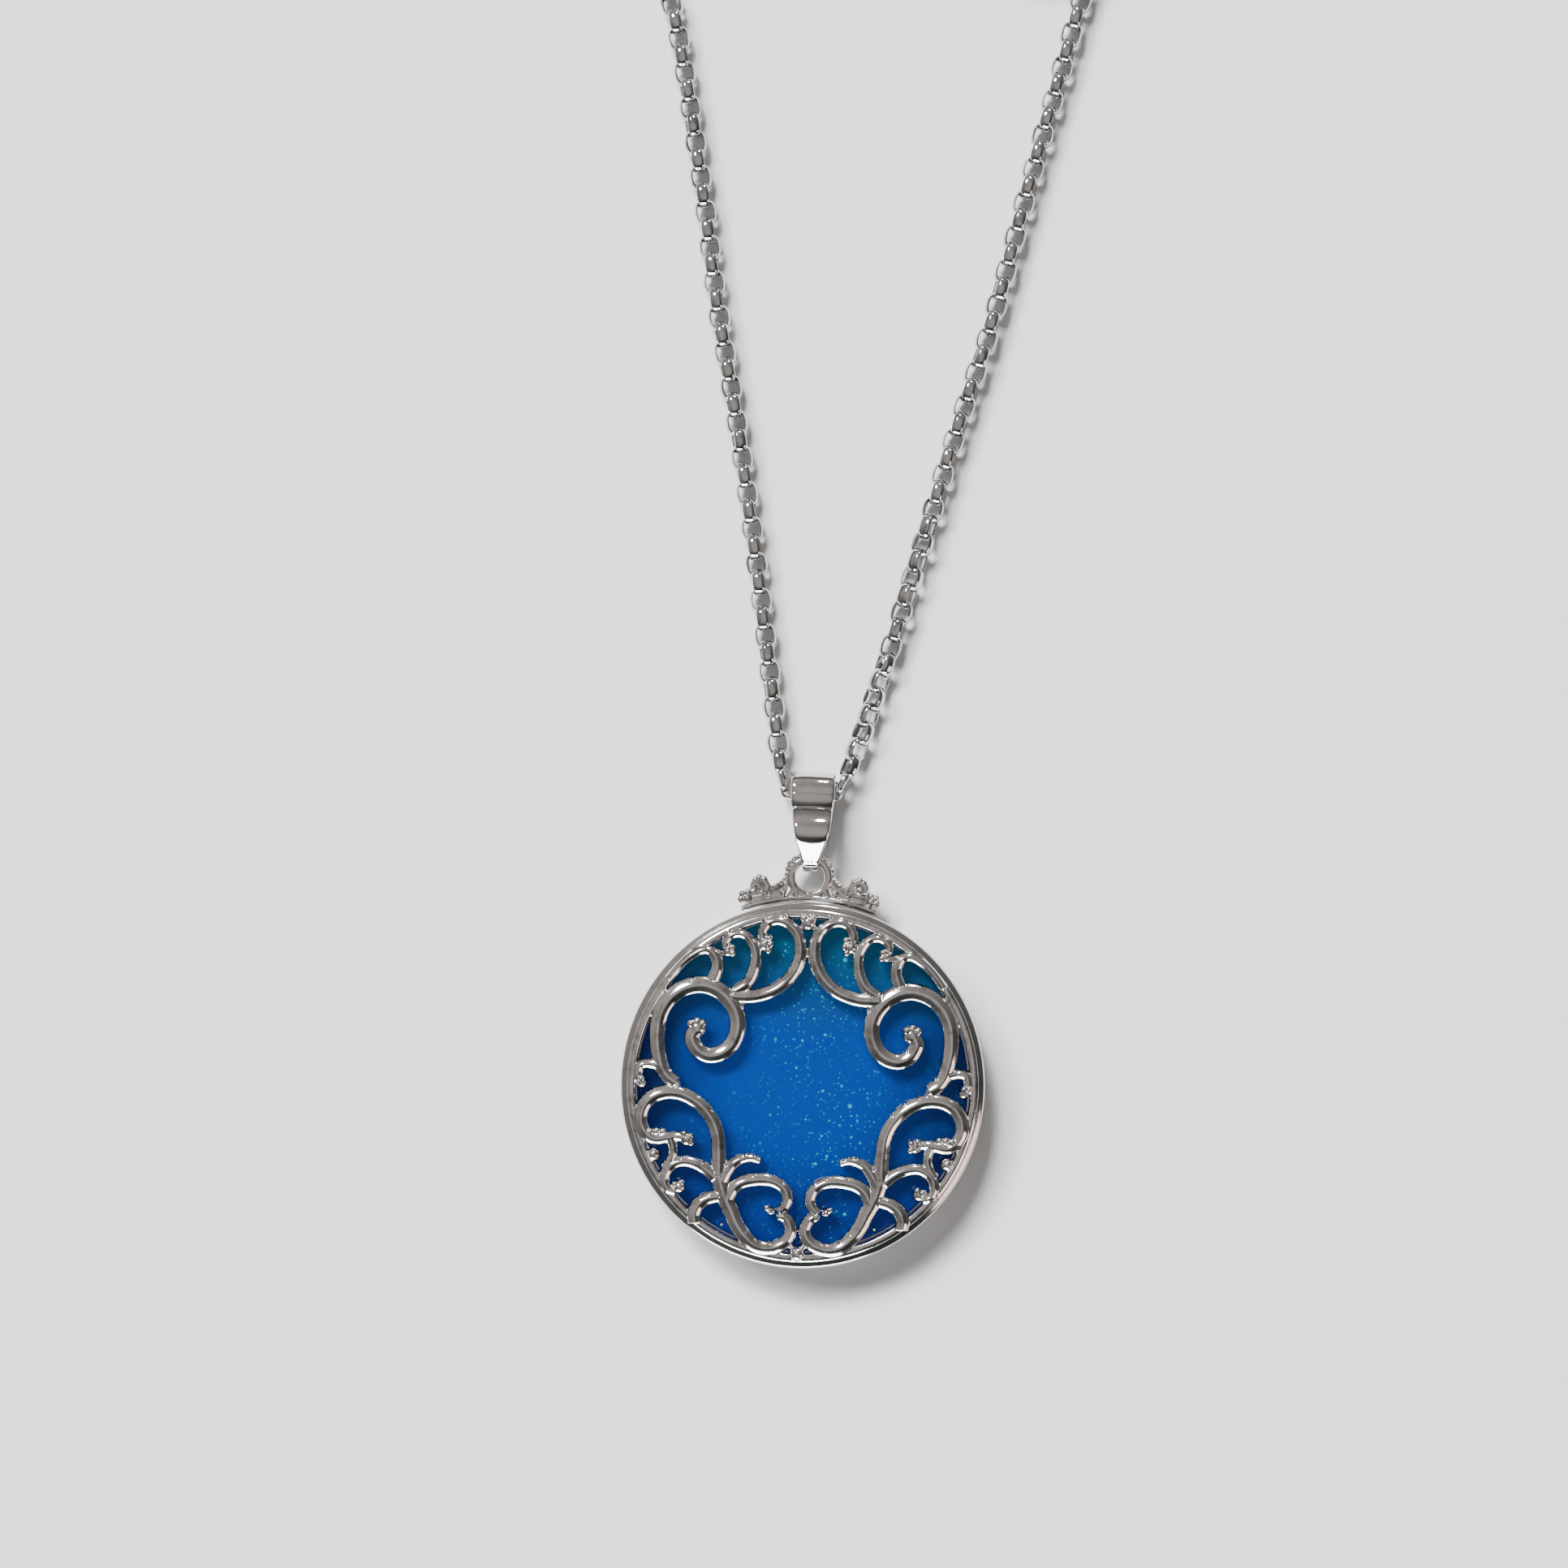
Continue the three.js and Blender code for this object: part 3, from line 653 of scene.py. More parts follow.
waist = [(0.0 if x > 0 and LEVER_POCKET_Y[0] < y < LEVER_POCKET_Y[1] else x, y) for x, y in CLAW]
clasp_piece("clasp_claw", [
    plate(CLAW, CLASP_RIM, LEVER_Z[0] - LEVER_GAP, [RIVET_HOLE]),
    plate(waist, WAIST_RIM, CLASP_H - WAIST_RIM),
    plate(CLAW, LEVER_Z[1] + LEVER_GAP, CLASP_H - CLASP_RIM, [RIVET_HOLE]),
    plate(arc(0, 0, EYE_R, 0, 354, 59), *EYE_Z, [arc(0, 0, EYE_HOLE_R, 0, 350, 35)]),
    plate(NECK, *EYE_Z),
], 0.04, 7, "clasp", "clasp_body")

over_pocket = [(x, max(y, 3.22)) for x, y in LEVER]
clasp_piece("clasp_trigger", [
    plate(LEVER, LEVER_Z[0] + 0.02, LEVER_Z[1] - 0.28, [RIVET_HOLE]),
    plate(over_pocket, LEVER_Z[0] + 0.3, LEVER_Z[1] - 0.02),
], 0.035, 5, "lever", "clasp_lever")

rivet_profile = [(AXIS_GAP, 0.05), (RIVET_R - 0.06, 0.05), (RIVET_R, 0.11), (RIVET_R, CLASP_H - 0.11),
                 (RIVET_R - 0.06, CLASP_H - 0.05), (AXIS_GAP, CLASP_H - 0.03)]
rivet = shifted(turned(rivet_profile, 28), RIVET_AT)
install(new_object("clasp_pin", *rivet, FINDING), "clasp", "clasp_silver", "clasp_rivet")


def spring_line():
    """A flat helix round the rivet, just under the lever's top."""
    points = []
    for u in np.linspace(0, 1, 40):
        a = u * SPRING_TURNS * 2 * math.pi
        points.append((RIVET_AT[0] + SPRING_R * math.cos(a), RIVET_AT[1] + SPRING_R * math.sin(a),
                       LEVER_Z[1] - 0.2 + SPRING_RISE * u))
    return points


install(new_object("clasp_coil", *wire(spring_line(), SPRING_WIRE, sides=10, spacing=0.03), FINDING),
        "clasp", "clasp_silver", "clasp_spring")

# ---- chain strands -------------------------------------------------------------------------------
LEFT_RUN = [
    (-2.3, 21.72, 1.0), (-2.75, 25, 0.8), (-3.3, 28.5, CHAIN_Z), (-4.0, 33, CHAIN_Z),
    (-4.7, 37.5, CHAIN_Z), (-5.4, 41.5, CHAIN_Z), (-6.3, 46.4, CHAIN_Z), (-7.2, 50.8, CHAIN_Z),
    (-8.1, 55.5, CHAIN_Z), (-8.9, 60.5, CHAIN_Z), (-9.8, 65.5, CHAIN_Z), (-10.8, 70.8, CHAIN_Z),
    (-11.8, 75.5, CHAIN_Z), (-12.5, 77.4, CHAIN_Z), (-13.3, 78.9, CHAIN_Z),
]
RIGHT_RUN = [
    (2.35, 21.56, 1.0), (3.4, 24.6, 0.8), (4.3, 27.8, CHAIN_Z), (5.3, 31.4, CHAIN_Z),
    (6.4, 35.3, CHAIN_Z), (7.6, 39.8, CHAIN_Z), (8.7, 44.2, CHAIN_Z), (10.0, 48.8, CHAIN_Z),
    (11.2, 52.9, CHAIN_Z), (12.3, 57.4, CHAIN_Z), (13.5, 62.6, CHAIN_Z), (14.7, 67.6, CHAIN_Z),
    (15.8, 72.0, CHAIN_Z), (16.8, 76.2, CHAIN_Z), (17.3, 78.0, CHAIN_Z), (18.1, 80.0, CHAIN_Z),
]


def coil(center_x, entry_deg, exit_deg, side):
    """Two layers: inward on the lower one, up, and outward on the upper one. side is -1 clockwise."""
    turns = COIL_TURNS + ((exit_deg - entry_deg) * side % 360) / 360
    steps = int(turns * COIL_STEPS)
    points = []
    for i in range(steps + 1):
        u = i / steps
        a = math.radians(entry_deg) + side * u * turns * 2 * math.pi
        inward = min(u, 1 - u) * 2
        outer = COIL_MEAN_R + COIL_SPREAD + (COIL_END_R - COIL_MEAN_R - COIL_SPREAD) * u
        r = outer - 2 * COIL_SPREAD * inward
        rise = ease(u, *COIL_CLIMB)
        points.append((center_x + r * math.cos(a), COIL_Y + r * math.sin(a), CHAIN_Z + LINK_WIDTH * rise))
    return points


def strand(run, center_x, entry_deg, exit_deg, side):
    """The chain's whole line on one side: from the bail, round the coil, and down to its last link."""
    x = center_x + side * COIL_END_R
    top = CHAIN_Z + LINK_WIDTH
    tail = [(x, COIL_Y + 1.2, top), (x, COIL_Y + 2.6, top - 0.1), (x, COIL_Y + 4.4, 1.5),
            (x, COIL_Y + 6.2, 0.84), (x, COIL_Y + 7.8, CHAIN_Z), (x, END_LINK_Y - LINK_PITCH / 2, CHAIN_Z)]
    return catmull(run + coil(center_x, entry_deg, exit_deg, side) + tail, 0.1)


def chain_of_links(name, path, roll_at):
    """Interlocked links along a path, each turned a quarter from the last."""
    length = float(distances(path)[-1])
    count = int(round(length / LINK_PITCH))
    at = np.linspace(0, length, count + 1)
    stations = resample(path, at)
    parts = []
    for i in range(count):
        roll = roll_at(at[i]) + (0 if i % 2 else math.pi / 2)
        parts.append(placed_link(LINK, stations[i], stations[i + 1], roll))
    return new_object(name, *merge(parts), SHADED_CHAIN_SILVER), length


def left_roll(s):
    """How far the links are rolled, s mm along the left strand."""
    return math.radians(7 * math.sin(s * 0.31) + 4 * math.sin(s * 1.7))


def right_roll(s):
    """The same on the right strand, which is twisted most beside the bail."""
    return math.radians(42 * (1 - ease(s, 9, 26)) * math.sin(0.5 + s * 0.28)
                        + 7 * math.sin(s * 0.23) + 4 * math.sin(s * 1.3))


STRANDS = (
    # side, line from the bail to the coil, coil's centre, angles where the coil starts and ends, its turn,
    # the links' roll, and the pieces on the strand's end
    ("left", LEFT_RUN, COIL_X[0], (208.0, 180.0), -1, left_roll,
     ["last_link_left", "jump_ring", "clasp_claw", "clasp_trigger", "clasp_pin", "clasp_coil"]),
    ("right", RIGHT_RUN, COIL_X[1], (-28.0, 0.0), 1, right_roll, ["last_link_right", "closing_ring"]),
)
for side, run, center_x, angles, turn, roll_at, pieces in STRANDS:
    path = strand(run, center_x, *angles, turn)
    chain, chain_length = chain_of_links(f"chain_{side}", path, roll_at)
    install(chain, "chain", "chain_silver", f"chain_{side}_run", f"chain_{side}_coil", f"chain_{side}_tail")
    print(side, "strand", round(chain_length, 1), "mm")


# ---- case and inlay ------------------------------------------------------------------------------
CASE_R = 12.5
CASE_FOOT_R = 0.6            # rounding of the case's lower edge
CASE_EDGE_R = 0.3            # rounding of its upper edge
CASE_EDGE_Z = 3.0            # height of that rounding's centre
LIP_R = 12.06
SEAT_R = 11.55
SEAT_Z = 2.5
FLOOR_Z = 0.8
INLAY_R = 11.4
INLAY_TOP = 2.3
INLAY_CROWN = 0.2
INLAY_EDGE_R = 0.2
INLAY_GAP = 0.05             # under the inlay

case_profile = ([(AXIS_GAP, 0.0)] + arc(CASE_R - CASE_FOOT_R, CASE_FOOT_R, CASE_FOOT_R, -90, 0, 10)
                + arc(CASE_R - CASE_EDGE_R, CASE_EDGE_Z, CASE_EDGE_R, 0, 68, 10)
                + [(LIP_R + 0.1, 3.34), (LIP_R, 3.38)]
                + [(LIP_R, SEAT_Z), (SEAT_R, SEAT_Z), (SEAT_R, FLOOR_Z), (AXIS_GAP, FLOOR_Z)])
install(new_object("case", *turned(case_profile, 256), SHADED_CASE_SILVER, crease=55), "pendant", "cast_silver", "case_cup")

inlay_top = [(r, INLAY_TOP + INLAY_CROWN * (1 - (r / INLAY_R) ** 2))
             for r in np.linspace(INLAY_R - 0.6, AXIS_GAP, 24)]
inlay_profile = ([(AXIS_GAP, FLOOR_Z + INLAY_GAP), (INLAY_R, FLOOR_Z + INLAY_GAP)]
                 + arc(INLAY_R - INLAY_EDGE_R, INLAY_TOP - INLAY_EDGE_R, INLAY_EDGE_R, 0, 90, 6) + inlay_top)
install(new_object("inlay", *turned(inlay_profile, 160), BLUE), "pendant", "blue_inlay", "inlay_disc")

# ---- filigree: a ring and scrolls with a soft ridge, drawn for the left half and mirrored ----------
FILIGREE_Z = 2.62
RIDGE = 1.14                 # height of the widest scroll's ridge over its underside
RING_MIDDLE_R = 11.77
RING_WIDTH = 0.56
CAST_ALLOWANCE = 0.24        # what softening takes off a scroll's width
LOBE_ALLOWANCE = 0.07        # and off a lobe's radius
FULL_HALF = 0.5              # half width from which a scroll or a bead has its full height
EDGE_BEAD_R = 0.17
EDGE_BEAD_TOP = RIDGE * 0.97
SCROLLS = [
    # centreline, widths along it, bead on its end (x, y, radius)
    ([(-8.68, -0.15), (-9.26, 0.25), (-9.7, 0.9), (-9.99, 2), (-10.09, 3.2), (-9.94, 4.4), (-9.46, 5.4),
      (-8.68, 6.15), (-7.7, 6.55), (-6.73, 6.55), (-5.75, 6.1), (-5.02, 5.3), (-4.63, 4.4), (-4.63, 3.5),
      (-4.97, 2.6), (-5.65, 2), (-6.53, 1.8), (-7.31, 2.2), (-7.7, 2.9), (-7.56, 3.4)],
     (0.8, 0.9, 0.98, 1.1, 1.0, 1.0, 0.9), (-7.36, 3.6, 0.66)),
    ([(-5.07, 5.9), (-3.9, 5.9), (-2.92, 6.1), (-1.95, 6.55), (-1.07, 7.4), (-0.58, 8.4), (-0.49, 9.4),
      (-0.73, 10.3), (-1.32, 10.95), (-2.05, 11.2), (-2.73, 11), (-3.12, 10.4), (-3.12, 9.9)],
     (0.8, 0.78, 0.75, 0.6, 0.5), (-2.97, 9.5, 0.52)),
    ([(-4.97, 6.2), (-4.09, 6.8), (-3.66, 7.6), (-3.51, 8.5), (-3.66, 9.3), (-4.09, 9.95), (-4.68, 10.2),
      (-5.27, 10.05), (-5.61, 9.6), (-5.61, 9.2)],
     (0.62, 0.66, 0.6, 0.5, 0.42), (-5.46, 8.9, 0.42)),
    ([(-6.43, 6.9), (-6.14, 7.7), (-6.19, 8.3), (-6.53, 8.85), (-7.12, 9), (-7.9, 8.6), (-8.68, 7.9),
      (-9.46, 6.9)],
     (0.75, 0.66, 0.5, 0.45, 0.42), (-6.19, 8.9, 0.3)),
    ([(-10.04, 1), (-10.72, 1.1), (-11.21, 0.9), (-11.31, 0.3), (-11.07, -0.1)],
     (0.55, 0.45), (-11.02, -0.25, 0.4)),
    ([(-5.56, -6.51), (-5.56, -5.47), (-5.61, -4.5), (-5.7, -3.6), (-6.04, -2.7), (-6.58, -1.95),
      (-7.21, -1.4), (-8.09, -0.95), (-8.97, -0.8), (-9.85, -0.95), (-10.53, -1.4), (-10.92, -2.1),
      (-10.97, -2.9), (-10.63, -3.6), (-10.04, -4), (-9.36, -3.95), (-8.68, -3.8), (-8.09, -3.85)],
     (0.9, 0.85, 0.82, 0.85, 0.75, 0.5), (-7.8, -4, 0.5)),
    ([(-8.97, -3.9), (-8.73, -4.5), (-8.73, -5.09), (-8.92, -5.57), (-9.26, -6.04)],
     (0.5, 0.5), (-10.04, -5.09, 0.5)),
    ([(-5.75, -6.51), (-6.43, -5.95), (-7.21, -5.57), (-7.99, -5.47), (-8.68, -5.71), (-9.12, -6.23),
      (-9.21, -6.89), (-8.97, -7.36), (-8.43, -7.57)],
     (0.75, 0.66, 0.6, 0.5), (-8.19, -7.22, 0.5)),
    ([(-5.46, -7.74), (-6.24, -7.93), (-6.83, -8.35), (-7.12, -8.97), (-7.07, -9.63)],
     (0.7, 0.8, 0.75), (-7.02, -9.06, 0.38)),
    ([(-5.56, -6.23), (-5.31, -7.17), (-4.97, -8.02), (-4.58, -8.78), (-4.24, -9.54), (-3.7, -10.29),
      (-2.92, -10.95), (-2.05, -11.14), (-1.17, -10.91), (-0.63, -10.39), (-0.49, -9.82), (-0.73, -9.21),
      (-1.07, -8.97)],
     (1.0, 1.0, 0.9, 0.78, 0.75, 0.6), (-1.22, -9.02, 0.36)),
    ([(-5.36, -6.8), (-4.97, -6.04), (-4.48, -5.43), (-3.9, -5.14), (-3.31, -5.09), (-2.73, -5.28)],
     (0.75, 0.66, 0.55, 0.36), (-3.41, -5, 0.24)),
    ([(-4.88, -7.93), (-4.48, -7.17), (-3.9, -6.75), (-3.12, -6.56), (-2.34, -6.51), (-1.66, -6.65),
      (-1.02, -7.08), (-0.78, -7.74), (-0.93, -8.31), (-1.36, -8.69)],
     (0.72, 0.76, 0.76, 0.66, 0.5), (-1.9, -8.64, 0.36)),
]
# Lobes of the leaf and bud at the scrolls' ends, and the cast beads along the scrolls' outer edges.
LOBES = [
    (-7.78, 3.92, 0.26), (-7.39, 4.08, 0.26), (-7, 3.94, 0.25), (-2.65, 9.95, 0.2), (-2.55, 9.5, 0.2),
    (-2.68, 9.1, 0.18), (-5.22, 9.2, 0.19), (-5.12, 8.8, 0.18), (-10.33, -3.55, 0.24),
    (-9.9, -3.5, 0.24), (-9.46, -3.5, 0.22), (-7.99, -3.6, 0.2), (-7.56, -3.75, 0.2),
    (-7.51, -4.2, 0.18), (-0.31, 11.38, 0.22), (-8.09, -6.94, 0.18), (-8.48, -7.03, 0.16),
    (-2.15, -8.45, 0.17), (-11.07, 0.05, 0.18),
]
EDGE_BEADS = [
    (-10.24, -0.75), (-8.58, -0.42), (-8.09, -0.55), (-7.02, -1.05), (-6.09, -1.95), (-8.09, -5.19),
    (-6.63, -5.57), (-5.07, -5.66), (-3.9, -4.88), (-3.12, -4.9), (-2.78, -5.05), (-3.12, -6.23),
    (-1.95, -6.23), (-1.02, -6.75), (-3.51, -10.15), (-2.83, -10.62), (-1.8, -10.76), (-7.8, 7),
    (-9.55, 6.15), (-5.07, 6.35), (-4.29, 5.15), (-9.07, 0.72), (-7.02, 2.55), (-2.92, 11.2),
    (-1.46, 11.5), (-0.83, 10.95), (-0.2, 9.9), (-5.46, 10.25), (-3.66, 9.75), (-6.73, -8.02),
    (-6.09, -7.69), (-1.02, -8.78), (-5.22, -9.63),
]


def ridged(points, widths, side):
    """A cast scroll with flat sides and two slopes that meet in a soft ridge."""
    line = catmull([(x * side, y, 0) for x, y in points], 0.1)[:, :2]
    ahead = np.gradient(line, axis=0)
    ahead /= np.linalg.norm(ahead, axis=1)[:, None]
    across = np.stack([-ahead[:, 1], ahead[:, 0]], axis=1)
    along = np.linspace(0, 1, len(line))
    half = (np.interp(along, np.linspace(0, 1, len(widths)), widths) + CAST_ALLOWANCE) / 2
    fraction = np.array([-1, -0.97, -0.85, -0.62, -0.34, -0.1, 0.1, 0.34, 0.62, 0.85, 0.97, 1])
    slope = np.array([0.38, 0.64, 0.8, 0.88, 0.945, 0.99, 0.99, 0.945, 0.88, 0.8, 0.64, 0.38])
    sections = []
    for p, n, h in zip(line, across, half):
        height = RIDGE * (0.74 + 0.26 * min(1, h / FULL_HALF))
        xy = p + n * (fraction[:, None] * h)
        top = np.column_stack([xy, FILIGREE_Z + slope * height])
        foot = np.column_stack([xy[[-1, 0]], [FILIGREE_Z] * 2])
        sections.append(np.vstack([top, foot]))
    return loft(sections)


def bead(x, y, r, top=None):
    """A bead standing on the filigree's underside."""
    high = (top or RIDGE * (0.72 + 0.3 * min(1, r / FULL_HALF))) / 2
    return ball((x, y, FILIGREE_Z + high), r, high / r, 18)


ring_profile = [(RING_MIDDLE_R + f * RING_WIDTH / 2, FILIGREE_Z + h) for f, h in
                ((-1, 0), (1, 0), (1, 0.78), (0.5, 0.86), (0, 0.9), (-0.6, 0.88), (-0.9, 0.82), (-1, 0.66))]
scrollwork = [turned(ring_profile, 240), bead(0, 11.1, 0.6), bead(0, -11.5, 0.55), bead(0.32, -11.1, 0.3),
              bead(-0.32, -11.1, 0.3)]
for side in (1, -1):
    for points, widths, end in SCROLLS:
        scrollwork += [ridged(points, widths, side), bead(end[0] * side, *end[1:]),
                       bead(points[0][0] * side, points[0][1], widths[0] / 2)]
    for x, y, lobe_r in LOBES:
        r = lobe_r + LOBE_ALLOWANCE
        scrollwork.append(ball((x * side, y, FILIGREE_Z + RIDGE - r), r, 1, 18))
    scrollwork += [bead(x * side, y, EDGE_BEAD_R, EDGE_BEAD_TOP) for x, y in EDGE_BEADS]
install(casting("filigree", scrollwork, 0.04, 3, CAST), "pendant", "cast_silver", "filigree_front")

# ---- hanger: loop, shoulders with curls, and cast beads, on a foot along the case's edge -----------
LOOP_Y = 14.3
LOOP_Z = 1.5
LOOP_R = 1.29
LOOP_SECTION = (0.25, 0.5)   # half width and half height
BAR_SIDES = 16
BAR_ALLOWANCE = 0.05         # what softening takes off a bar's half width


def ellipse_sweep(points, across, high, closed=False):
    """An oval bar along a path in the plane z = LOOP_Z; across is one half width or one for each point."""
    line = even(points, 0.08)[:-1] if closed else catmull(points, 0.08)
    ahead = np.roll(line, -1, 0) - np.roll(line, 1, 0)
    if not closed:
        ahead[0], ahead[-1] = line[1] - line[0], line[-1] - line[-2]
    ahead /= np.linalg.norm(ahead, axis=1)[:, None]
    side = np.stack([-ahead[:, 1], ahead[:, 0], np.zeros(len(line))], axis=1)
    given = np.linspace(0, 1, np.size(across))
    widths = np.interp(np.linspace(0, 1, len(line)), given, np.atleast_1d(across)) + BAR_ALLOWANCE
    angles = np.arange(BAR_SIDES) * 2 * math.pi / BAR_SIDES
    flat = [np.sign(v) * np.abs(v) ** 0.7 for v in (np.cos(angles), np.sin(angles))]
    return loft([p + flat[0][:, None] * s * w + flat[1][:, None] * np.array([0, 0, high])
                 for p, s, w in zip(line, side, widths)], closed)


BACKING_R = CASE_R + 0.16
FOOT_R = CASE_R + 0.36
SIDE_BARS = (                # centreline on the left side, half widths along it, half height
    ([(-1.3, 15.1), (-1.48, 14.6), (-1.6, 14.2), (-1.95, 13.75), (-2.5, 13.4), (-3.1, 13.15), (-3.6, 13.05),
      (-4.1, 12.95)], (0.12, 0.14, 0.16, 0.18, 0.18, 0.18), 0.36),
    ([(-3.0, 13.2), (-2.95, 13.6), (-3.2, 13.95), (-3.6, 13.98), (-3.9, 13.7), (-3.85, 13.35)],
     (0.24, 0.26, 0.22), 0.55),
    ([(-1.05, 13.6), (-1.15, 13.2), (-1.35, 12.9)], (0.2, 0.2), 0.5),
)
BACKING = [(-1.5, 13.95), (-1.95, 13.55), (-2.6, 13.25), (-3.2, 13.1), (-4.0, 12.95), (-4.5, 12.75)]
BACKING += [(BACKING_R * math.cos(a), BACKING_R * math.sin(a)) for a in np.radians((110, 106, 102, 98, 96.6))]
BACKING += [(-1.6, 13.1), (-1.5, 13.5)]
HANGER_BEADS = [             # x, y and radius of each on the left side
    (-0.78, 15.68, 0.2), (-1.12, 15.5, 0.22), (-1.42, 15.2, 0.22), (-1.58, 14.86, 0.18), (-1.62, 14.5, 0.16),
    (-1.72, 14.15, 0.17), (-1.9, 13.95, 0.17), (-2.12, 13.78, 0.17), (-2.42, 13.6, 0.16), (-2.75, 13.5, 0.17),
    (-3.75, 13.98, 0.27), (-3.15, 14.02, 0.27), (-4.0, 13.55, 0.2), (-3.5, 14.2, 0.22), (-2.8, 13.2, 0.22),
    (-4.65, 12.98, 0.26), (-4.28, 13.1, 0.26), (-4.72, 12.62, 0.26), (-4.3, 12.7, 0.3), (-1.8, 13.15, 0.2),
    (-0.75, 13.25, 0.2), (-0.2, 13.0, 0.16),
]


def hanger_side(side):
    """One shoulder with its curl, the backing that joins it up, and its beads. side is -1 on the right."""
    parts = [ball((-3.52 * side, 13.5, LOOP_Z - 0.1), 0.42, 1.1, 16)]
    for points, half_widths, half_height in SIDE_BARS:
        parts.append(ellipse_sweep([(x * side, y, LOOP_Z) for x, y in points], half_widths, half_height))
    parts.append(plate([(x * side, y) for x, y in BACKING], LOOP_Z - 0.4, LOOP_Z + 0.3))
    for x, y, r in HANGER_BEADS:
        parts.append(ball((x * side, y, LOOP_Z + 0.25), r + 0.02, 1.1, 14))
    return parts


loop_line = [(LOOP_R * math.cos(a), LOOP_Y + LOOP_R * math.sin(a), LOOP_Z)
             for a in np.linspace(0, 2 * math.pi, 100)]
foot_line = [(FOOT_R * math.cos(a), FOOT_R * math.sin(a), LOOP_Z)
             for a in np.radians(np.linspace(68.5, 111.5, 60))]
hanger = [ellipse_sweep(loop_line, *LOOP_SECTION, closed=True), *hanger_side(1), *hanger_side(-1),
          ellipse_sweep(foot_line, 0.14, 0.55)]
install(casting("hanger", hanger, 0.035, 2, CAST), "pendant", "cast_silver", "hanger_loop")

# ---- bail: a folded band, a round roll at the top and a tapered shield down to the loop ------------
BAR_Y = LOOP_Y + LOOP_R
ROLL_Y = 20.3
ROLL_Z = 1.3
BAND_THICK = 0.24
ROLL_R = 1.18                # radius of the band's middle line round the chain
FOLD_R = 0.76                # and of its fold round the loop's bar
BAND_CROWN = 0.06            # how far the band's outer face bulges in its middle
# The band's middle line in the plane across the bail, as (y, z), from under the tip round to the front.
BAND_LINE = (
    arc(BAR_Y, LOOP_Z, FOLD_R, 262, 180, 10)
    + [(BAR_Y - 0.73, LOOP_Z + 0.22), (BAR_Y - 0.57, LOOP_Z + 0.42), (15.3, 2.1), (15.8, 2.46), (16.3, 2.82),
       (16.68, 3.08), (17.0, 3.25), (17.4, 3.32), (17.85, 3.24), (18.25, 3.04), (18.6, 2.8), (18.88, 2.58),
       (19.04, 2.4), (19.16, 2.34), (19.34, 2.4), (19.6, 2.48), (19.9, 2.51)]
    + arc(ROLL_Y, ROLL_Z, ROLL_R, 98, -96, 28)
    + [(19.2, 0.26), (18.0, 0.4), (16.8, 0.56)]
)
SHIELD = ((14.6, 0.48), (15.4, 0.6), (16.0, 0.78), (16.5, 0.97), (17.0, 1.13), (17.5, 1.24), (18.0, 1.32),
          (19.0, 1.44), (19.4, 1.5), (22.0, 1.56))        # half width against y


def bail_band():
    """A strip along the band's line: as wide as the shield, thin at its edges and crowned outside."""
    line = even(catmull([(0, y, z) for y, z in BAND_LINE + BAND_LINE[:1]], 0.02), 0.07)[:-1]
    ahead = np.roll(line, -1, 0) - np.roll(line, 1, 0)
    ahead /= np.linalg.norm(ahead, axis=1)[:, None]
    outward = np.stack([np.zeros(len(line)), -ahead[:, 2], ahead[:, 1]], axis=1)
    ys, halves = zip(*SHIELD)
    width = np.interp(line[:, 1], ys, halves)
    across = np.array([-1, -0.98, -0.92, -0.8, -0.6, -0.35, -0.1, 0.1, 0.35, 0.6, 0.8, 0.92, 0.98, 1])
    crown = (1 - across ** 2) * BAND_CROWN
    rounding = np.array([0.3, 0.72, 0.95, 1, 1, 1, 1, 1, 1, 1, 1, 0.95, 0.72, 0.3])
    outer = BAND_THICK / 2 * rounding
    sections = []
    for p, n, w in zip(line, outward, width):
        x = np.outer(across * w, (1, 0, 0))
        sections.append(np.vstack([p + x + n * (outer + crown * w)[:, None],
                                   (p + x - n * outer[:, None])[::-1]]))
    return loft(sections, closed=True)


install(new_object("bail_band", *bail_band(), BAIL, crease=60), "bail", "cast_silver", "bail")


# ---- floor and light -----------------------------------------------------------------------------
FLOOR_HALF = 4000
FLOOR_COLOUR = (0.80, 0.805, 0.81)
KEY_LAMPS = (                # azimuth, elevation and power of each; only the last shows in the silver
    (112, 46, 2.2), (122, 43, 2.4), (134, 39, 2.3), (150, 41, 2.1), (122, 52, 1.4),
)
KEY_ANGLE = 12
HIGH_AND_LOW = [             # colour of what surrounds the necklace, from straight down to straight up
    (0.0, (0.05, 0.05, 0.05)), (0.5, (0.3, 0.3, 0.3)), (1.0, (0.44, 0.405, 0.385)),
]
AROUND = [                   # and at mid height, from the dark side to the bright one
    (0.0, (0.03, 0.035, 0.035)), (0.5, (0.16, 0.155, 0.15)), (1.0, (0.44, 0.39, 0.37)),
]
BRIGHT_SIDE = (-0.6, 0.8, 0)
MID_HEIGHT = [(0.2, (0, 0, 0)), (0.42, (1, 1, 1)), (0.8, (1, 1, 1)), (0.95, (0, 0, 0))]


def make_floor():
    material, _, shader, _ = nodes_of("floor")
    shader.inputs["Base Color"].default_value = (*FLOOR_COLOUR, 1)
    shader.inputs["Roughness"].default_value = 0.6
    corners = [(x * FLOOR_HALF, y * FLOOR_HALF, 0) for x, y in ((-1, -1), (1, -1), (1, 1), (-1, 1))]
    new_object("floor", corners, [(0, 1, 2, 3)], material)


def place_lamp(name, light, turn):
    lamp = bpy.data.objects.new(name, light)
    lamp.rotation_euler = turn.to_euler()
    scene.collection.objects.link(lamp)
    return lamp


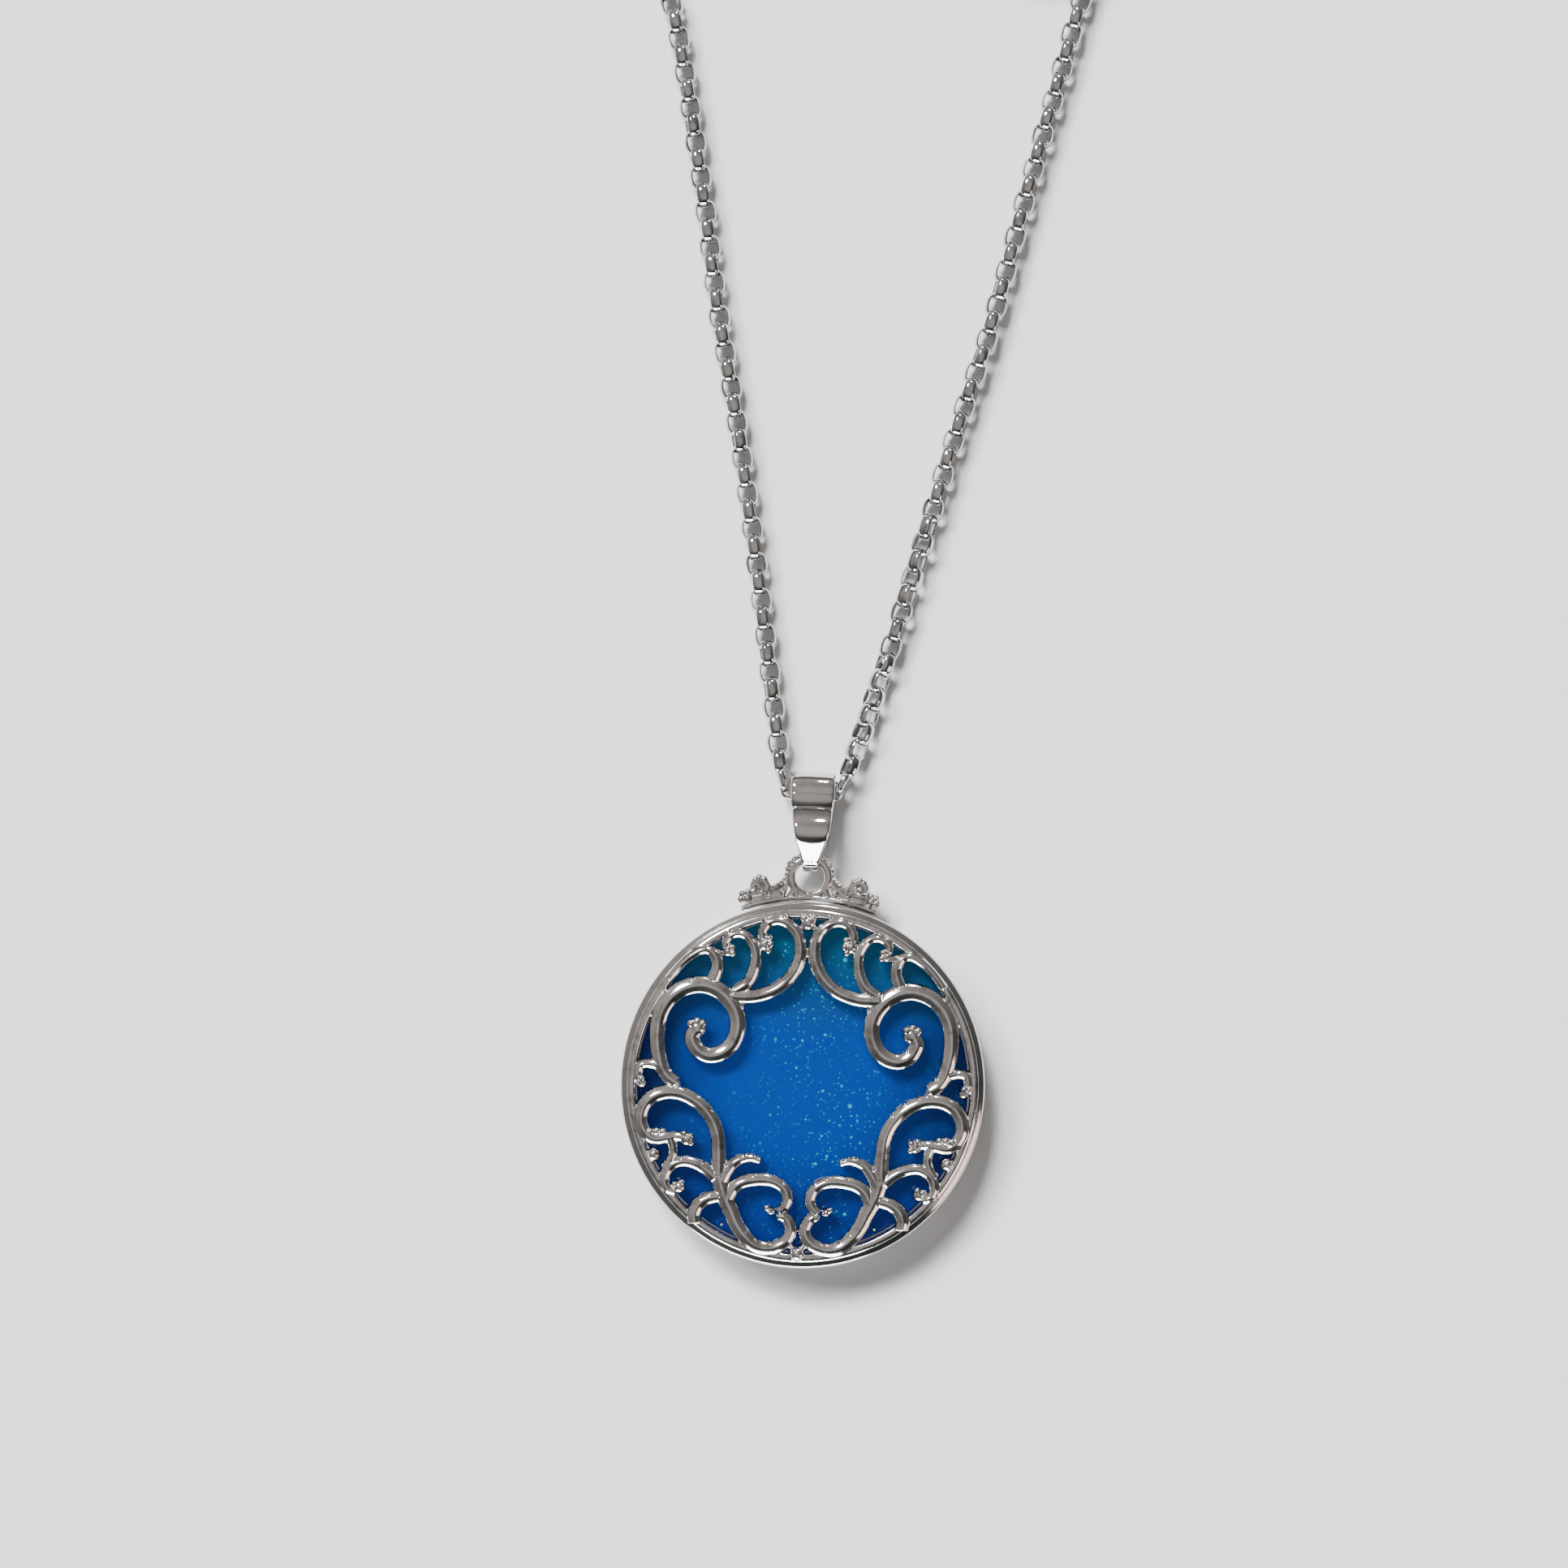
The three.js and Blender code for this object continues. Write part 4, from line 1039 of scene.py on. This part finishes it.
def key_lamp(name, azimuth, elevation, power):
    """A far lamp, high over the bail's side."""
    sun = bpy.data.lights.new(name, "SUN")
    sun.energy = power
    sun.angle = math.radians(KEY_ANGLE)
    a, e = math.radians(azimuth), math.radians(elevation)
    source = Vector((math.cos(a) * math.cos(e), math.sin(a) * math.cos(e), math.sin(e)))
    return place_lamp(name, sun, source.to_track_quat("Z", "Y"))


def panel(name, place, target, size, power, colour=(1, 1, 1)):
    """A rectangle of light that shows in the silver and leaves the floor as it is."""
    light = bpy.data.lights.new(name, "AREA")
    light.shape = "RECTANGLE"
    light.size, light.size_y = size[0] * MM, size[1] * MM
    light.energy = power
    light.color = colour
    aim = (Vector(target) - Vector(place)).normalized()
    lamp = place_lamp(name, light, aim.to_track_quat("-Z", "Y"))
    lamp.location = Vector(place) * MM
    lamp.visible_diffuse = False


def make_lamps():
    for i, lamp in enumerate(KEY_LAMPS):
        key_lamp(f"key_{i + 1}", *lamp).visible_glossy = i == len(KEY_LAMPS) - 1
    panel("window", (-40, -420, 118), (0, 0, 3), (440, 190), 3.4)
    panel("warm_side", (330, -160, 210), (0, 0, 3), (200, 160), 0.35, (1.0, 0.72, 0.66))
    panel("glints", (40, 330, 190), (0, 10, 3), (30, 30), 0.4)


def make_world():
    """Dim surroundings, lighter above and, at mid height, on one side."""
    world = bpy.data.worlds.new("world")
    world.use_nodes = True
    tree = world.node_tree
    direction = tree.nodes.new("ShaderNodeTexCoord").outputs["Generated"]
    parts = tree.nodes.new("ShaderNodeSeparateXYZ")
    tree.links.new(direction, parts.inputs[0])
    height = parts.outputs["Z"]
    across = tree.nodes.new("ShaderNodeVectorMath")
    across.operation = "DOT_PRODUCT"
    tree.links.new(direction, across.inputs[0])
    across.inputs[1].default_value = BRIGHT_SIDE
    around = ramp(tree, remap(tree, across.outputs["Value"], -0.7, 0.8, 0, 1), AROUND)
    colour = mix(tree, ramp(tree, height, MID_HEIGHT), ramp(tree, height, HIGH_AND_LOW), around)
    tree.links.new(colour, tree.nodes["Background"].inputs["Color"])
    scene.world = world


make_floor()
make_lamps()
make_world()
